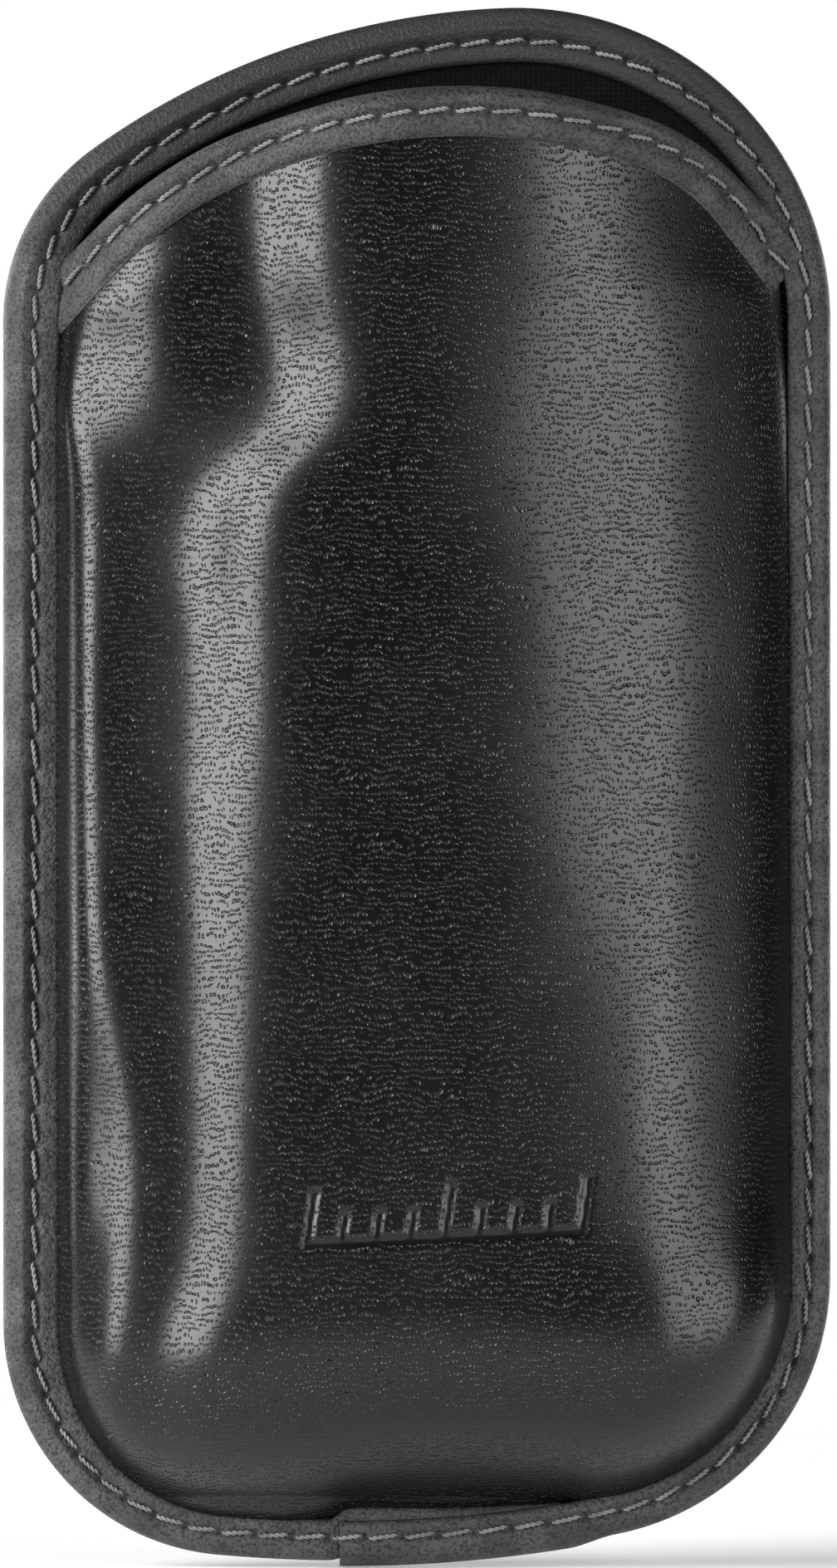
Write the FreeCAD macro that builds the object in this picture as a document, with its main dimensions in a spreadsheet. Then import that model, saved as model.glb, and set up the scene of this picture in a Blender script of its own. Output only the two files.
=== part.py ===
import FreeCAD, Part
import math
import os
import Sketcher

# A soft slip pouch for a handheld light meter, standing upright with its mouth at the top.
# Units are millimetres. +Z is up, the front faces -Y, and +X is to the right of the front.
# The origin is the centre of the belt tunnel on the back. "Ahead" means a distance towards -Y.

os.makedirs("parts", exist_ok=True)
doc = FreeCAD.newDocument("light_meter_pouch")

# ---------------------------------------------------------------- driving sizes
SIZES = {
    # outline of the whole pouch, measured to the outside of the edge binding
    "half_width": 49.8,
    "shoulder_left_height": 27.3,
    "shoulder_right_height": 27.4,
    "shoulder_left_radius": 25.7,
    "crown_radius": 90.7,
    "shoulder_right_radius": 37.8,
    "foot_left_depth": 93.0,
    "foot_right_depth": 87.4,
    "foot_left_radius": 28.2,
    "sole_radius": 171.0,
    "foot_right_radius": 31.8,
    # arched line of the mouth, measured to the top of the mouth binding
    "mouth_left_edge": 56.5,
    "mouth_right_edge": 47.0,
    "mouth_left_height": -2.0,
    "mouth_right_height": 25.4,
    "mouth_left_radius": 55.8,
    "mouth_crown_radius": 74.0,
    "mouth_right_radius": 27.5,
    # the layers, from the back of the pouch to its front
    "back_face_ahead": 3.0,
    "leather": 1.0,
    "foam": 2.0,
    "lining": 0.5,
    "tape": 0.9,
    "clearance": 0.05,
    # the bulged front
    "bulge_foot_inset": 7.6,
    "bulge_depth": 21.0,
    "bulge_lean": 25.0,
    "bulge_radius": 14.0,
    "back_foam_inset": 14.6,
    "back_lining_inset": 11.5,
    # the two bindings
    "edge_binding_width": 7.5,
    "mouth_binding_width": 6.0,
    "edge_rounding": 1.5,
    "binding_step_height": 38.0,
    "overlap_left": 9.0,
    "overlap_right": 19.0,
    "overlap_rise": 0.7,
    # stitches
    "edge_stitch_inset": 3.9,
    "mouth_stitch_inset": 2.9,
    "stitch_pitch": 4.5,
    "stitch_length": 3.6,
    "thread_radius": 0.3,
    # belt loop on the back
    "tunnel_half_depth": 3.0,
    "tunnel_half_height": 24.0,
    "loop_width": 38.0,
    "loop_half_height": 46.0,
    "loop_leather": 1.4,
    "loop_lining": 0.8,
    "loop_bend_radius": 5.0,
    "loop_tab_height": 36.0,
}

sheet = doc.addObject("Spreadsheet::Sheet", "sizes")
sheet.Label = "sizes"
for row, (word, number) in enumerate(SIZES.items(), start=1):
    sheet.set("A%d" % row, word)
    sheet.set("B%d" % row, "%g" % number)
    sheet.setAlias("B%d" % row, word)
doc.recompute()


class Size:
    """A length that is known both as a number and as an expression of the sheet."""

    def __init__(self, text, number):
        self.text = text
        self.number = number

    def __add__(self, other):
        other = as_size(other)
        return Size("(%s + %s)" % (self.text, other.text), self.number + other.number)

    def __sub__(self, other):
        other = as_size(other)
        return Size("(%s - %s)" % (self.text, other.text), self.number - other.number)

    def times(self, factor, factor_text):
        return Size("(%s * %s)" % (self.text, factor_text), self.number * factor)


def as_size(value):
    return value if isinstance(value, Size) else Size("%g" % value, float(value))


def size(word):
    return Size("<<sizes>>.%s" % word, SIZES[word])


NONE = as_size(0)
GAP = size("clearance")
LEAN = math.radians(SIZES["bulge_lean"])
LEAN_TEXT = "(<<sizes>>.bulge_lean * 1 deg)"

# where each layer starts, counted ahead of the origin
BACK_FACE = size("back_face_ahead")
BACK_INNER = BACK_FACE + size("leather")
BACK_LINING_SEAM = BACK_INNER + GAP
FRONT_LINING_SEAM = BACK_LINING_SEAM + size("lining") + GAP
FRONT_PANEL_SEAM = FRONT_LINING_SEAM + size("lining") + GAP
FRONT_PANEL_FLANGE = FRONT_PANEL_SEAM + size("leather")
BINDING_BACK = BACK_FACE - GAP - size("tape")
BINDING_TOP_FRONT = BACK_LINING_SEAM + size("lining") + GAP + size("tape")
BINDING_FRONT = FRONT_PANEL_FLANGE + GAP + size("tape")
STACK = size("leather") + GAP + size("foam") + GAP + size("lining")


# ---------------------------------------------------------------- sketch helpers
def new_body(label):
    body = doc.addObject("PartDesign::Body", label)
    body.Label = label
    return body


def new_sketch(body, name, role, ahead):
    """A sketch on one of the body's own origin planes, moved along that plane's normal."""
    plane = [f for f in body.Origin.OriginFeatures if f.Role == role][0]
    sketch = body.newObject("Sketcher::SketchObject", name)
    sketch.AttachmentSupport = (plane, [""])
    sketch.MapMode = "FlatFace"
    offset = FreeCAD.Vector(0, 0, ahead.number)
    sketch.AttachmentOffset = FreeCAD.Placement(offset, FreeCAD.Rotation())
    sketch.setExpression(".AttachmentOffset.Base.z", ahead.text)
    return sketch


def bind(sketch, kind, places, value):
    """Add one driving constraint and tie it to the sheet."""
    index = sketch.addConstraint(Sketcher.Constraint(kind, *places, value.number))
    sketch.setExpression("Constraints[%d]" % index, value.text)


def join(sketch, *ends):
    """Join two ends smoothly: geometry and end of the first, then of the second."""
    sketch.addConstraint(Sketcher.Constraint("Tangent", *ends))


def touch(sketch, *ends):
    sketch.addConstraint(Sketcher.Constraint("Coincident", *ends))


def segment(x1, z1, x2, z2):
    return Part.LineSegment(FreeCAD.Vector(x1, z1, 0), FreeCAD.Vector(x2, z2, 0))


def arc(centre, radius, start, end):
    """An arc that runs anticlockwise from one point to the other."""
    circle = Part.Circle(FreeCAD.Vector(*centre, 0), FreeCAD.Vector(0, 0, 1), radius)
    a = math.atan2(start[1] - centre[1], start[0] - centre[0])
    b = math.atan2(end[1] - centre[1], end[0] - centre[0])
    if b <= a:
        b += 2 * math.pi
    return Part.ArcOfCircle(circle, a, b)


def three_arcs(left, right, left_z, right_z, radii, way):
    """Two corner arcs and the long arc that joins them; way is 1 over the top, -1 below."""
    r1, r2, r3 = radii
    c1 = (left + r1, left_z)
    c3 = (right - r3, right_z)
    dx, dz = c3[0] - c1[0], c3[1] - c1[1]
    apart = math.hypot(dx, dz)
    along = ((r2 - r1) ** 2 - (r2 - r3) ** 2 + apart ** 2) / (2 * apart)
    down = math.sqrt((r2 - r1) ** 2 - along ** 2)
    c2 = (
        c1[0] + dx * along / apart + way * dz * down / apart,
        c1[1] + dz * along / apart - way * dx * down / apart,
    )
    joints = []
    for c in (c1, c3):
        reach = math.hypot(c[0] - c2[0], c[1] - c2[1])
        joints.append((c2[0] + (c[0] - c2[0]) * r2 / reach, c2[1] + (c[1] - c2[1]) * r2 / reach))
    return c1, c2, c3, joints[0], joints[1]


TOP_WORDS = ("shoulder_left_radius", "crown_radius", "shoulder_right_radius")
FOOT_WORDS = ("foot_left_radius", "sole_radius", "foot_right_radius")
MOUTH_WORDS = ("mouth_left_radius", "mouth_crown_radius", "mouth_right_radius")


def radii_of(words, inset):
    return [SIZES[word] - inset for word in words]


def add_foot_arcs(sketch, inset, left_line, right_line):
    """The three arcs of the pouch's foot, between the bottoms of two upright lines."""
    half = SIZES["half_width"] - inset.number
    left_z, right_z = -SIZES["foot_left_depth"], -SIZES["foot_right_depth"]
    radii = radii_of(FOOT_WORDS, inset.number)
    c1, c2, c3, j1, j3 = three_arcs(-half, half, left_z, right_z, radii, -1)
    right = sketch.addGeometry(arc(c3, radii[2], j3, (half, right_z)))
    sole = sketch.addGeometry(arc(c2, radii[1], j1, j3))
    left = sketch.addGeometry(arc(c1, radii[0], (-half, left_z), j1))
    join(sketch, right_line, 2, right, 2)
    join(sketch, right, 1, sole, 2)
    join(sketch, sole, 1, left, 2)
    join(sketch, left, 1, left_line, 1)
    for geometry, word in zip((left, sole, right), FOOT_WORDS):
        bind(sketch, "Radius", (geometry,), size(word) - inset)
    bind(sketch, "DistanceY", (left_line, 1, -1, 1), size("foot_left_depth"))
    bind(sketch, "DistanceY", (right_line, 2, -1, 1), size("foot_right_depth"))


def draw_outline(sketch, inset):
    """The pouch's full outline, moved inwards by an inset."""
    half = SIZES["half_width"] - inset.number
    left_z, right_z = SIZES["shoulder_left_height"], SIZES["shoulder_right_height"]
    radii = radii_of(TOP_WORDS, inset.number)
    c1, c2, c3, j1, j3 = three_arcs(-half, half, left_z, right_z, radii, 1)
    left_line = sketch.addGeometry(segment(-half, -SIZES["foot_left_depth"], -half, left_z))
    left = sketch.addGeometry(arc(c1, radii[0], j1, (-half, left_z)))
    crown = sketch.addGeometry(arc(c2, radii[1], j3, j1))
    right = sketch.addGeometry(arc(c3, radii[2], (half, right_z), j3))
    right_line = sketch.addGeometry(segment(half, right_z, half, -SIZES["foot_right_depth"]))
    sketch.addConstraint(Sketcher.Constraint("Vertical", left_line))
    sketch.addConstraint(Sketcher.Constraint("Vertical", right_line))
    join(sketch, left_line, 2, left, 2)
    join(sketch, left, 1, crown, 2)
    join(sketch, crown, 1, right, 2)
    join(sketch, right, 1, right_line, 1)
    add_foot_arcs(sketch, inset, left_line, right_line)
    for geometry, word in zip((left, crown, right), TOP_WORDS):
        bind(sketch, "Radius", (geometry,), size(word) - inset)
    bind(sketch, "DistanceX", (left_line, 1, -1, 1), size("half_width") - inset)
    bind(sketch, "DistanceX", (-1, 1, right_line, 1), size("half_width") - inset)
    bind(sketch, "DistanceY", (-1, 1, left_line, 2), size("shoulder_left_height"))
    bind(sketch, "DistanceY", (-1, 1, right_line, 1), size("shoulder_right_height"))


def draw_outline_below(sketch, inset, level):
    """The pouch's outline cut off by a level line that crosses its two shoulders."""
    half = SIZES["half_width"] - inset.number
    left_z, right_z = SIZES["shoulder_left_height"], SIZES["shoulder_right_height"]
    r1, _, r3 = radii_of(TOP_WORDS, inset.number)
    z = level.number
    cut_left = (-half + r1 - math.sqrt(r1 ** 2 - (z - left_z) ** 2), z)
    cut_right = (half - r3 + math.sqrt(r3 ** 2 - (z - right_z) ** 2), z)
    left_line = sketch.addGeometry(segment(-half, -SIZES["foot_left_depth"], -half, left_z))
    left = sketch.addGeometry(arc((-half + r1, left_z), r1, cut_left, (-half, left_z)))
    top = sketch.addGeometry(segment(*cut_left, *cut_right))
    right = sketch.addGeometry(arc((half - r3, right_z), r3, (half, right_z), cut_right))
    right_line = sketch.addGeometry(segment(half, right_z, half, -SIZES["foot_right_depth"]))
    sketch.addConstraint(Sketcher.Constraint("Vertical", left_line))
    sketch.addConstraint(Sketcher.Constraint("Vertical", right_line))
    sketch.addConstraint(Sketcher.Constraint("Horizontal", top))
    join(sketch, left_line, 2, left, 2)
    join(sketch, right, 1, right_line, 1)
    touch(sketch, left, 1, top, 1)
    touch(sketch, top, 2, right, 2)
    add_foot_arcs(sketch, inset, left_line, right_line)
    bind(sketch, "Radius", (left,), size(TOP_WORDS[0]) - inset)
    bind(sketch, "Radius", (right,), size(TOP_WORDS[2]) - inset)
    bind(sketch, "DistanceX", (left_line, 1, -1, 1), size("half_width") - inset)
    bind(sketch, "DistanceX", (-1, 1, right_line, 1), size("half_width") - inset)
    bind(sketch, "DistanceY", (-1, 1, left_line, 2), size("shoulder_left_height"))
    bind(sketch, "DistanceY", (-1, 1, right_line, 1), size("shoulder_right_height"))
    bind(sketch, "DistanceY", (-1, 1, top, 1), level)


def draw_trough(sketch, inset, top):
    """The same outline with straight upright sides, closed by a level line."""
    half = SIZES["half_width"] - inset.number
    left_line = sketch.addGeometry(segment(-half, -SIZES["foot_left_depth"], -half, top.number))
    level = sketch.addGeometry(segment(-half, top.number, half, top.number))
    right_line = sketch.addGeometry(segment(half, top.number, half, -SIZES["foot_right_depth"]))
    sketch.addConstraint(Sketcher.Constraint("Vertical", left_line))
    sketch.addConstraint(Sketcher.Constraint("Vertical", right_line))
    sketch.addConstraint(Sketcher.Constraint("Horizontal", level))
    touch(sketch, left_line, 2, level, 1)
    touch(sketch, level, 2, right_line, 1)
    add_foot_arcs(sketch, inset, left_line, right_line)
    bind(sketch, "DistanceX", (left_line, 1, -1, 1), size("half_width") - inset)
    bind(sketch, "DistanceX", (-1, 1, right_line, 1), size("half_width") - inset)
    bind(sketch, "DistanceY", (-1, 1, left_line, 2), top)


def draw_mouth_region(sketch, inset, side):
    """All that lies above the arched mouth line, or below it, out past the pouch's edges."""
    reach = 70.0
    far = 120.0 if side == "above" else -120.0
    left = -SIZES["mouth_left_edge"] + inset.number
    right = SIZES["mouth_right_edge"] - inset.number
    left_z, right_z = SIZES["mouth_left_height"], SIZES["mouth_right_height"]
    radii = radii_of(MOUTH_WORDS, inset.number)
    c1, c2, c3, j1, j3 = three_arcs(left, right, left_z, right_z, radii, 1)
    a1 = sketch.addGeometry(arc(c1, radii[0], j1, (left, left_z)))
    a2 = sketch.addGeometry(arc(c2, radii[1], j3, j1))
    a3 = sketch.addGeometry(arc(c3, radii[2], (right, right_z), j3))
    join(sketch, a1, 1, a2, 2)
    join(sketch, a2, 1, a3, 2)
    corners = [(right, right_z), (reach, right_z), (reach, far), (-reach, far), (-reach, left_z)]
    corners.append((left, left_z))
    lines = [sketch.addGeometry(segment(*p, *q)) for p, q in zip(corners, corners[1:])]
    touch(sketch, a3, 1, lines[0], 1)
    touch(sketch, a1, 2, lines[-1], 2)
    for one, two in zip(lines, lines[1:]):
        touch(sketch, one, 2, two, 1)
    for line, way in zip(lines, ("Horizontal", "Vertical") * 3):
        sketch.addConstraint(Sketcher.Constraint(way, line))
    for geometry, word in zip((a1, a2, a3), MOUTH_WORDS):
        bind(sketch, "Radius", (geometry,), size(word) - inset)
    bind(sketch, "DistanceX", (a1, 2, -1, 1), size("mouth_left_edge") - inset)
    bind(sketch, "DistanceX", (-1, 1, a3, 1), size("mouth_right_edge") - inset)
    sketch.addConstraint(Sketcher.Constraint("DistanceY", a1, 3, a1, 2, 0.0))
    sketch.addConstraint(Sketcher.Constraint("DistanceY", a3, 3, a3, 1, 0.0))
    bind(sketch, "DistanceY", (a1, 2, -1, 1), NONE - size("mouth_left_height"))
    bind(sketch, "DistanceY", (-1, 1, a3, 1), size("mouth_right_height"))


# ---------------------------------------------------------------- solid helpers
def pad(body, sketch, length, lean=False):
    feature = body.newObject("PartDesign::Pad", "pad")
    feature.Profile = sketch
    feature.Length = length.number
    feature.setExpression("Length", length.text)
    if lean:
        feature.setExpression("TaperAngle", "-1 * %s" % LEAN_TEXT)
    sketch.Visibility = False
    doc.recompute()
    return feature


def pocket_ahead(body, sketch, length=None):
    """Cut ahead from a sketch, through all of the body or for a given length."""
    feature = body.newObject("PartDesign::Pocket", "pocket")
    feature.Profile = sketch
    feature.Reversed = True
    if length is None:
        feature.Type = 1
    else:
        feature.Length = length.number
        feature.setExpression("Length", length.text)
    sketch.Visibility = False
    doc.recompute()
    return feature


def edges_ahead(feature, ahead, keep=None):
    """Names of the feature's edges that lie in one plane ahead of the origin."""
    names = []
    for number, edge in enumerate(feature.Shape.Edges, start=1):
        box = edge.BoundBox
        flat = abs(box.YMin + ahead) < 1e-4 and abs(box.YMax + ahead) < 1e-4
        if flat and (keep is None or keep(edge)):
            names.append("Edge%d" % number)
    return names


def fillet(body, feature, names, radius):
    rounding = body.newObject("PartDesign::Fillet", "fillet")
    rounding.Base = (feature, names)
    rounding.Radius = radius.number
    rounding.setExpression("Radius", radius.text)
    doc.recompute()
    return rounding


def scoop(body, tool):
    """Take the shape of another body out of this one."""
    cut = body.newObject("PartDesign::Boolean", "scoop")
    cut.Type = "Cut"
    cut.addObject(tool)
    doc.recompute()
    return cut


def foot_inset(deep, base):
    """Inset of the bulge's foot for a surface that lies deep under the front's outer face."""
    slanted = deep.times(1 / math.cos(LEAN), "(1 / cos%s)" % LEAN_TEXT)
    risen = (base - FRONT_PANEL_SEAM).times(math.tan(LEAN), "tan%s" % LEAN_TEXT)
    return size("bulge_foot_inset") + slanted + risen


def bulge_block(label, deep, base):
    """The leaning, rounded block that lies deep under the front's outer face."""
    body = new_body(label)
    sketch = new_sketch(body, label + "_foot", "XZ_Plane", base)
    draw_trough(sketch, foot_inset(deep, base), as_size(95))
    front = FRONT_PANEL_SEAM + size("bulge_depth") - deep
    block = pad(body, sketch, front - base, lean=True)
    fillet(body, block, edges_ahead(block, front.number), size("bulge_radius") - deep)
    return body


def bulge_skin(label, deep, base, wall):
    """A skin of the front's shape, open at the back, before the mouth is cut."""
    body = bulge_block(label, deep, base)
    scoop(body, bulge_block(label + "_hollow", deep + wall, base - 1))
    return body


def add_flange(body, label, base, wall, inner):
    """The flat margin that is held in the edge seam."""
    sketch = new_sketch(body, label + "_margin", "XZ_Plane", base)
    draw_trough(sketch, size("tape") + GAP + GAP, as_size(90))
    draw_trough(sketch, inner, as_size(80))
    pad(body, sketch, wall)


def cut_mouth(body, label, inset, side):
    sketch = new_sketch(body, label + "_" + side, "XZ_Plane", NONE)
    draw_mouth_region(sketch, inset, side)
    pocket_ahead(body, sketch)


def cut_to_window(body, label, inset):
    """Remove all that would reach under the edge binding."""
    sketch = new_sketch(body, label + "_window", "XZ_Plane", NONE)
    draw_outline(sketch, inset)
    far = 130.0
    corners = [(-far, -far), (far, -far), (far, far), (-far, far), (-far, -far)]
    lines = [sketch.addGeometry(segment(*p, *q)) for p, q in zip(corners, corners[1:])]
    for line in lines:
        sketch.addConstraint(Sketcher.Constraint("Block", line))
    pocket_ahead(body, sketch)


# ---------------------------------------------------------------- front: panel, foam, lining
def front_layer(label, deep, base, wall, flanged):
    body = bulge_skin(label, deep, base, wall)
    if flanged:
        inner = foot_inset(deep + wall, base)
        add_flange(body, label, base, wall, inner)
    cut_mouth(body, label, size("tape") + GAP, "above")
    return body


FOAM_DEEP = size("leather") + GAP
LINING_DEEP = FOAM_DEEP + size("foam") + GAP

front_panel = front_layer("front_panel", NONE, FRONT_PANEL_SEAM, size("leather"), True)
front_foam = front_layer("front_foam", FOAM_DEEP, FRONT_PANEL_SEAM, size("foam"), False)
front_lining = front_layer("front_lining", LINING_DEEP, FRONT_LINING_SEAM, size("lining"), True)


# ---------------------------------------------------------------- back: panel, foam, lining
def flat_layer(label, inset, ahead, wall):
    body = new_body(label)
    sketch = new_sketch(body, label + "_outline", "XZ_Plane", ahead)
    draw_outline(sketch, inset)
    pad(body, sketch, wall)
    return body


SEAM_INSET = size("tape") + GAP + GAP
back_panel = flat_layer("back_panel", SEAM_INSET, BACK_FACE, size("leather"))
back_foam = flat_layer("back_foam", size("back_foam_inset"), BACK_LINING_SEAM, size("foam"))


def make_back_lining():
    """A shallow tray of lining that covers the foam and lies flat at the seam."""
    label = "back_lining"
    body = new_body(label)
    sketch = new_sketch(body, label + "_foot", "XZ_Plane", BACK_LINING_SEAM)
    draw_outline(sketch, size("back_lining_inset"))
    pad(body, sketch, size("foam") + GAP + size("lining"), lean=True)
    wall = size("lining").times(1 / math.cos(LEAN), "(1 / cos%s)" % LEAN_TEXT)
    hollow = new_body(label + "_hollow")
    inner = new_sketch(hollow, label + "_hollow_foot", "XZ_Plane", BACK_LINING_SEAM)
    draw_outline(inner, size("back_lining_inset") + wall)
    pad(hollow, inner, size("foam") + GAP, lean=True)
    scoop(body, hollow)
    margin = new_sketch(body, label + "_margin", "XZ_Plane", BACK_LINING_SEAM)
    draw_outline(margin, SEAM_INSET)
    draw_outline(margin, size("back_lining_inset") + wall)
    pad(body, margin, size("lining"))
    return body


back_lining = make_back_lining()


# ---------------------------------------------------------------- the edge binding
def make_edge_binding():
    """One folded tape right round the pouch, with its two ends overlapping at the foot."""
    label = "edge_binding"
    body = new_body(label)

    whole = new_sketch(body, label + "_outline", "XZ_Plane", BINDING_BACK)
    draw_outline(whole, NONE)
    block = pad(body, whole, BINDING_FRONT - BINDING_BACK)
    names = edges_ahead(block, BINDING_BACK.number) + edges_ahead(block, BINDING_FRONT.number)
    fillet(body, block, names, size("edge_rounding"))

    # above the mouth's corners the tape wraps the back layers only, so it is thinner there
    upper = new_sketch(body, label + "_upper", "XZ_Plane", BINDING_TOP_FRONT)
    draw_upper_region(upper)
    thinned = pocket_ahead(body, upper)
    step = SIZES["binding_step_height"]

    def outer_edge(edge):
        box = edge.BoundBox
        return box.ZMax > step + 1 and box.XLength + box.ZLength > 1 and box.ZLength > 0.01

    names = edges_ahead(thinned, BINDING_TOP_FRONT.number, outer_edge)
    fillet(body, thinned, names, size("edge_rounding") - 0.3)

    # the tail of the under tape and the end of the upper one
    overlap = new_sketch(body, label + "_overlap", "XZ_Plane", BINDING_FRONT - size("tape"))
    draw_overlap(overlap)
    pad(body, overlap, size("tape") + size("overlap_rise"))

    window = new_sketch(body, label + "_window", "XZ_Plane", NONE)
    draw_outline(window, size("edge_binding_width"))
    pocket_ahead(body, window)

    thin_slot = new_sketch(body, label + "_thin_slot", "XZ_Plane", BACK_FACE - GAP)
    draw_outline(thin_slot, size("tape") + GAP)
    pocket_ahead(body, thin_slot, BINDING_TOP_FRONT - size("tape") - BACK_FACE + GAP)

    thick_slot = new_sketch(body, label + "_thick_slot", "XZ_Plane", BACK_FACE - GAP)
    draw_outline_below(thick_slot, size("tape") + GAP, size("binding_step_height") - size("tape"))
    pocket_ahead(body, thick_slot, FRONT_PANEL_FLANGE + GAP - BACK_FACE + GAP)
    return body


def draw_upper_region(sketch):
    """A box over all that lies above the step, out past the pouch's edges."""
    low, high, wide = SIZES["binding_step_height"], 120.0, 80.0
    corners = [(-wide, low), (wide, low), (wide, high), (-wide, high), (-wide, low)]
    for p, q in zip(corners, corners[1:]):
        sketch.addGeometry(segment(*p, *q))
    for one in range(4):
        touch(sketch, one, 2, (one + 1) % 4, 1)
    for line, way in zip(range(4), ("Horizontal", "Vertical") * 2):
        sketch.addConstraint(Sketcher.Constraint(way, line))
    bind(sketch, "DistanceX", (0, 1, -1, 1), as_size(wide))
    bind(sketch, "DistanceX", (0, 1, 0, 2), as_size(2 * wide))
    bind(sketch, "DistanceY", (1, 1, 1, 2), as_size(high - low))
    bind(sketch, "DistanceY", (-1, 1, 0, 1), size("binding_step_height"))


def draw_overlap(sketch):
    """A short stretch of the foot's long arc, as wide as the tape's flat part."""
    left_z, right_z = -SIZES["foot_left_depth"], -SIZES["foot_right_depth"]
    half = SIZES["half_width"]
    radii = radii_of(FOOT_WORDS, 0)
    centre = three_arcs(-half, half, left_z, right_z, radii, -1)[1]
    left, right = -SIZES["overlap_left"], SIZES["overlap_right"]
    outer = radii[1] - SIZES["edge_rounding"]
    inner = radii[1] - SIZES["edge_binding_width"] - 1.0

    def on(radius, x):
        return (x, centre[1] - math.sqrt(radius ** 2 - (x - centre[0]) ** 2))

    sketch.addGeometry(arc(centre, outer, on(outer, left), on(outer, right)))
    sketch.addGeometry(segment(*on(outer, right), *on(inner, right)))
    sketch.addGeometry(arc(centre, inner, on(inner, left), on(inner, right)))
    sketch.addGeometry(segment(*on(inner, left), *on(outer, left)))
    touch(sketch, 0, 2, 1, 1)
    touch(sketch, 1, 2, 2, 2)
    touch(sketch, 2, 1, 3, 1)
    touch(sketch, 3, 2, 0, 1)
    sketch.addConstraint(Sketcher.Constraint("Vertical", 1))
    sketch.addConstraint(Sketcher.Constraint("Vertical", 3))
    touch(sketch, 0, 3, 2, 3)
    bind(sketch, "Radius", (0,), size("sole_radius") - size("edge_rounding"))
    bind(sketch, "Radius", (2,), size("sole_radius") - size("edge_binding_width") - 1)
    bind(sketch, "DistanceX", (3, 1, -1, 1), size("overlap_left"))
    bind(sketch, "DistanceX", (-1, 1, 1, 1), size("overlap_right"))


edge_binding = make_edge_binding()


# ---------------------------------------------------------------- the mouth binding
def make_mouth_binding():
    """A folded tape over the front's arched edge: a thick strip less the layers inside it."""
    outside = NONE - GAP - size("tape")
    total = size("tape") + GAP + STACK + GAP + size("tape")
    strip = bulge_skin("mouth_strip", outside, FRONT_PANEL_SEAM + 1.0, total)
    cut_mouth(strip, "mouth_strip", NONE, "above")
    cut_mouth(strip, "mouth_strip", size("mouth_binding_width"), "below")
    cut_to_window(strip, "mouth_strip", size("edge_binding_width") + 0.1)

    layers = bulge_skin("mouth_layers", NONE - GAP, FRONT_PANEL_SEAM - 1.0, STACK + GAP + GAP)
    cut_mouth(layers, "mouth_layers", size("tape"), "above")

    binding = doc.addObject("Part::Cut", "mouth_binding")
    binding.Label = "mouth_binding"
    binding.Base = strip
    binding.Tool = layers
    doc.recompute()
    return binding


mouth_binding = make_mouth_binding()


# ---------------------------------------------------------------- the belt loop
def loop_path(body, name, lift):
    """Middle line of one layer of the strap, seen from the side; lift is off the back panel."""
    sketch = new_sketch(body, name, "YZ_Plane", NONE)
    flat = -SIZES["back_face_ahead"] + lift.number
    out = SIZES["tunnel_half_depth"] + lift.number
    inner = SIZES["loop_bend_radius"] - lift.number + 3.0
    outer = SIZES["loop_bend_radius"] + lift.number
    end = SIZES["loop_half_height"]
    bend = SIZES["tunnel_half_height"]
    top_centre = (out - outer, bend)
    tab_centre = (flat + inner, SIZES["loop_tab_height"])
    # the slope is the straight line that touches both bends
    dy, dz = tab_centre[0] - top_centre[0], tab_centre[1] - top_centre[1]
    angle = math.atan2(dz, dy) - math.acos((outer + inner) / math.hypot(dy, dz))
    normal = (math.cos(angle), math.sin(angle))
    slope_top = (top_centre[0] + outer * normal[0], top_centre[1] + outer * normal[1])
    slope_end = (tab_centre[0] - inner * normal[0], tab_centre[1] - inner * normal[1])
    tab = (flat, tab_centre[1])

    def mirrored(point):
        return (point[0], -point[1])

    upper = [
        segment(out, -bend, out, bend),
        arc(top_centre, outer, (out, bend), slope_top),
        segment(*slope_top, *slope_end),
        arc(tab_centre, inner, tab, slope_end),
        segment(*tab, flat, end),
    ]
    low_centre = mirrored(top_centre)
    lower = [
        arc(low_centre, outer, mirrored(slope_top), (out, -bend)),
        segment(*mirrored(slope_top), *mirrored(slope_end)),
        arc(mirrored(tab_centre), inner, mirrored(slope_end), mirrored(tab)),
        segment(*mirrored(tab), flat, -end),
    ]
    for geometry in upper + lower:
        sketch.addGeometry(geometry)
    join(sketch, 0, 2, 1, 1)
    join(sketch, 1, 2, 2, 1)
    join(sketch, 2, 2, 3, 2)
    join(sketch, 3, 1, 4, 1)
    join(sketch, 0, 1, 5, 2)
    join(sketch, 5, 1, 6, 1)
    join(sketch, 6, 2, 7, 1)
    join(sketch, 7, 2, 8, 1)
    for line in (0, 4, 8):
        sketch.addConstraint(Sketcher.Constraint("Vertical", line))
    for number in (1, 5):
        bind(sketch, "Radius", (number,), size("loop_bend_radius") + lift)
    for number in (3, 7):
        bind(sketch, "Radius", (number,), size("loop_bend_radius") + 3 - lift)
    bind(sketch, "DistanceX", (-1, 1, 0, 1), size("tunnel_half_depth") + lift)
    bind(sketch, "DistanceX", (4, 2, -1, 1), size("back_face_ahead") - lift)
    bind(sketch, "DistanceX", (8, 2, -1, 1), size("back_face_ahead") - lift)
    bind(sketch, "DistanceY", (-1, 1, 0, 2), size("tunnel_half_height"))
    bind(sketch, "DistanceY", (0, 1, -1, 1), size("tunnel_half_height"))
    bind(sketch, "DistanceY", (-1, 1, 4, 2), size("loop_half_height"))
    bind(sketch, "DistanceY", (8, 2, -1, 1), size("loop_half_height"))
    bind(sketch, "DistanceY", (-1, 1, 4, 1), size("loop_tab_height"))
    bind(sketch, "DistanceY", (8, 1, -1, 1), size("loop_tab_height"))
    return sketch


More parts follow.
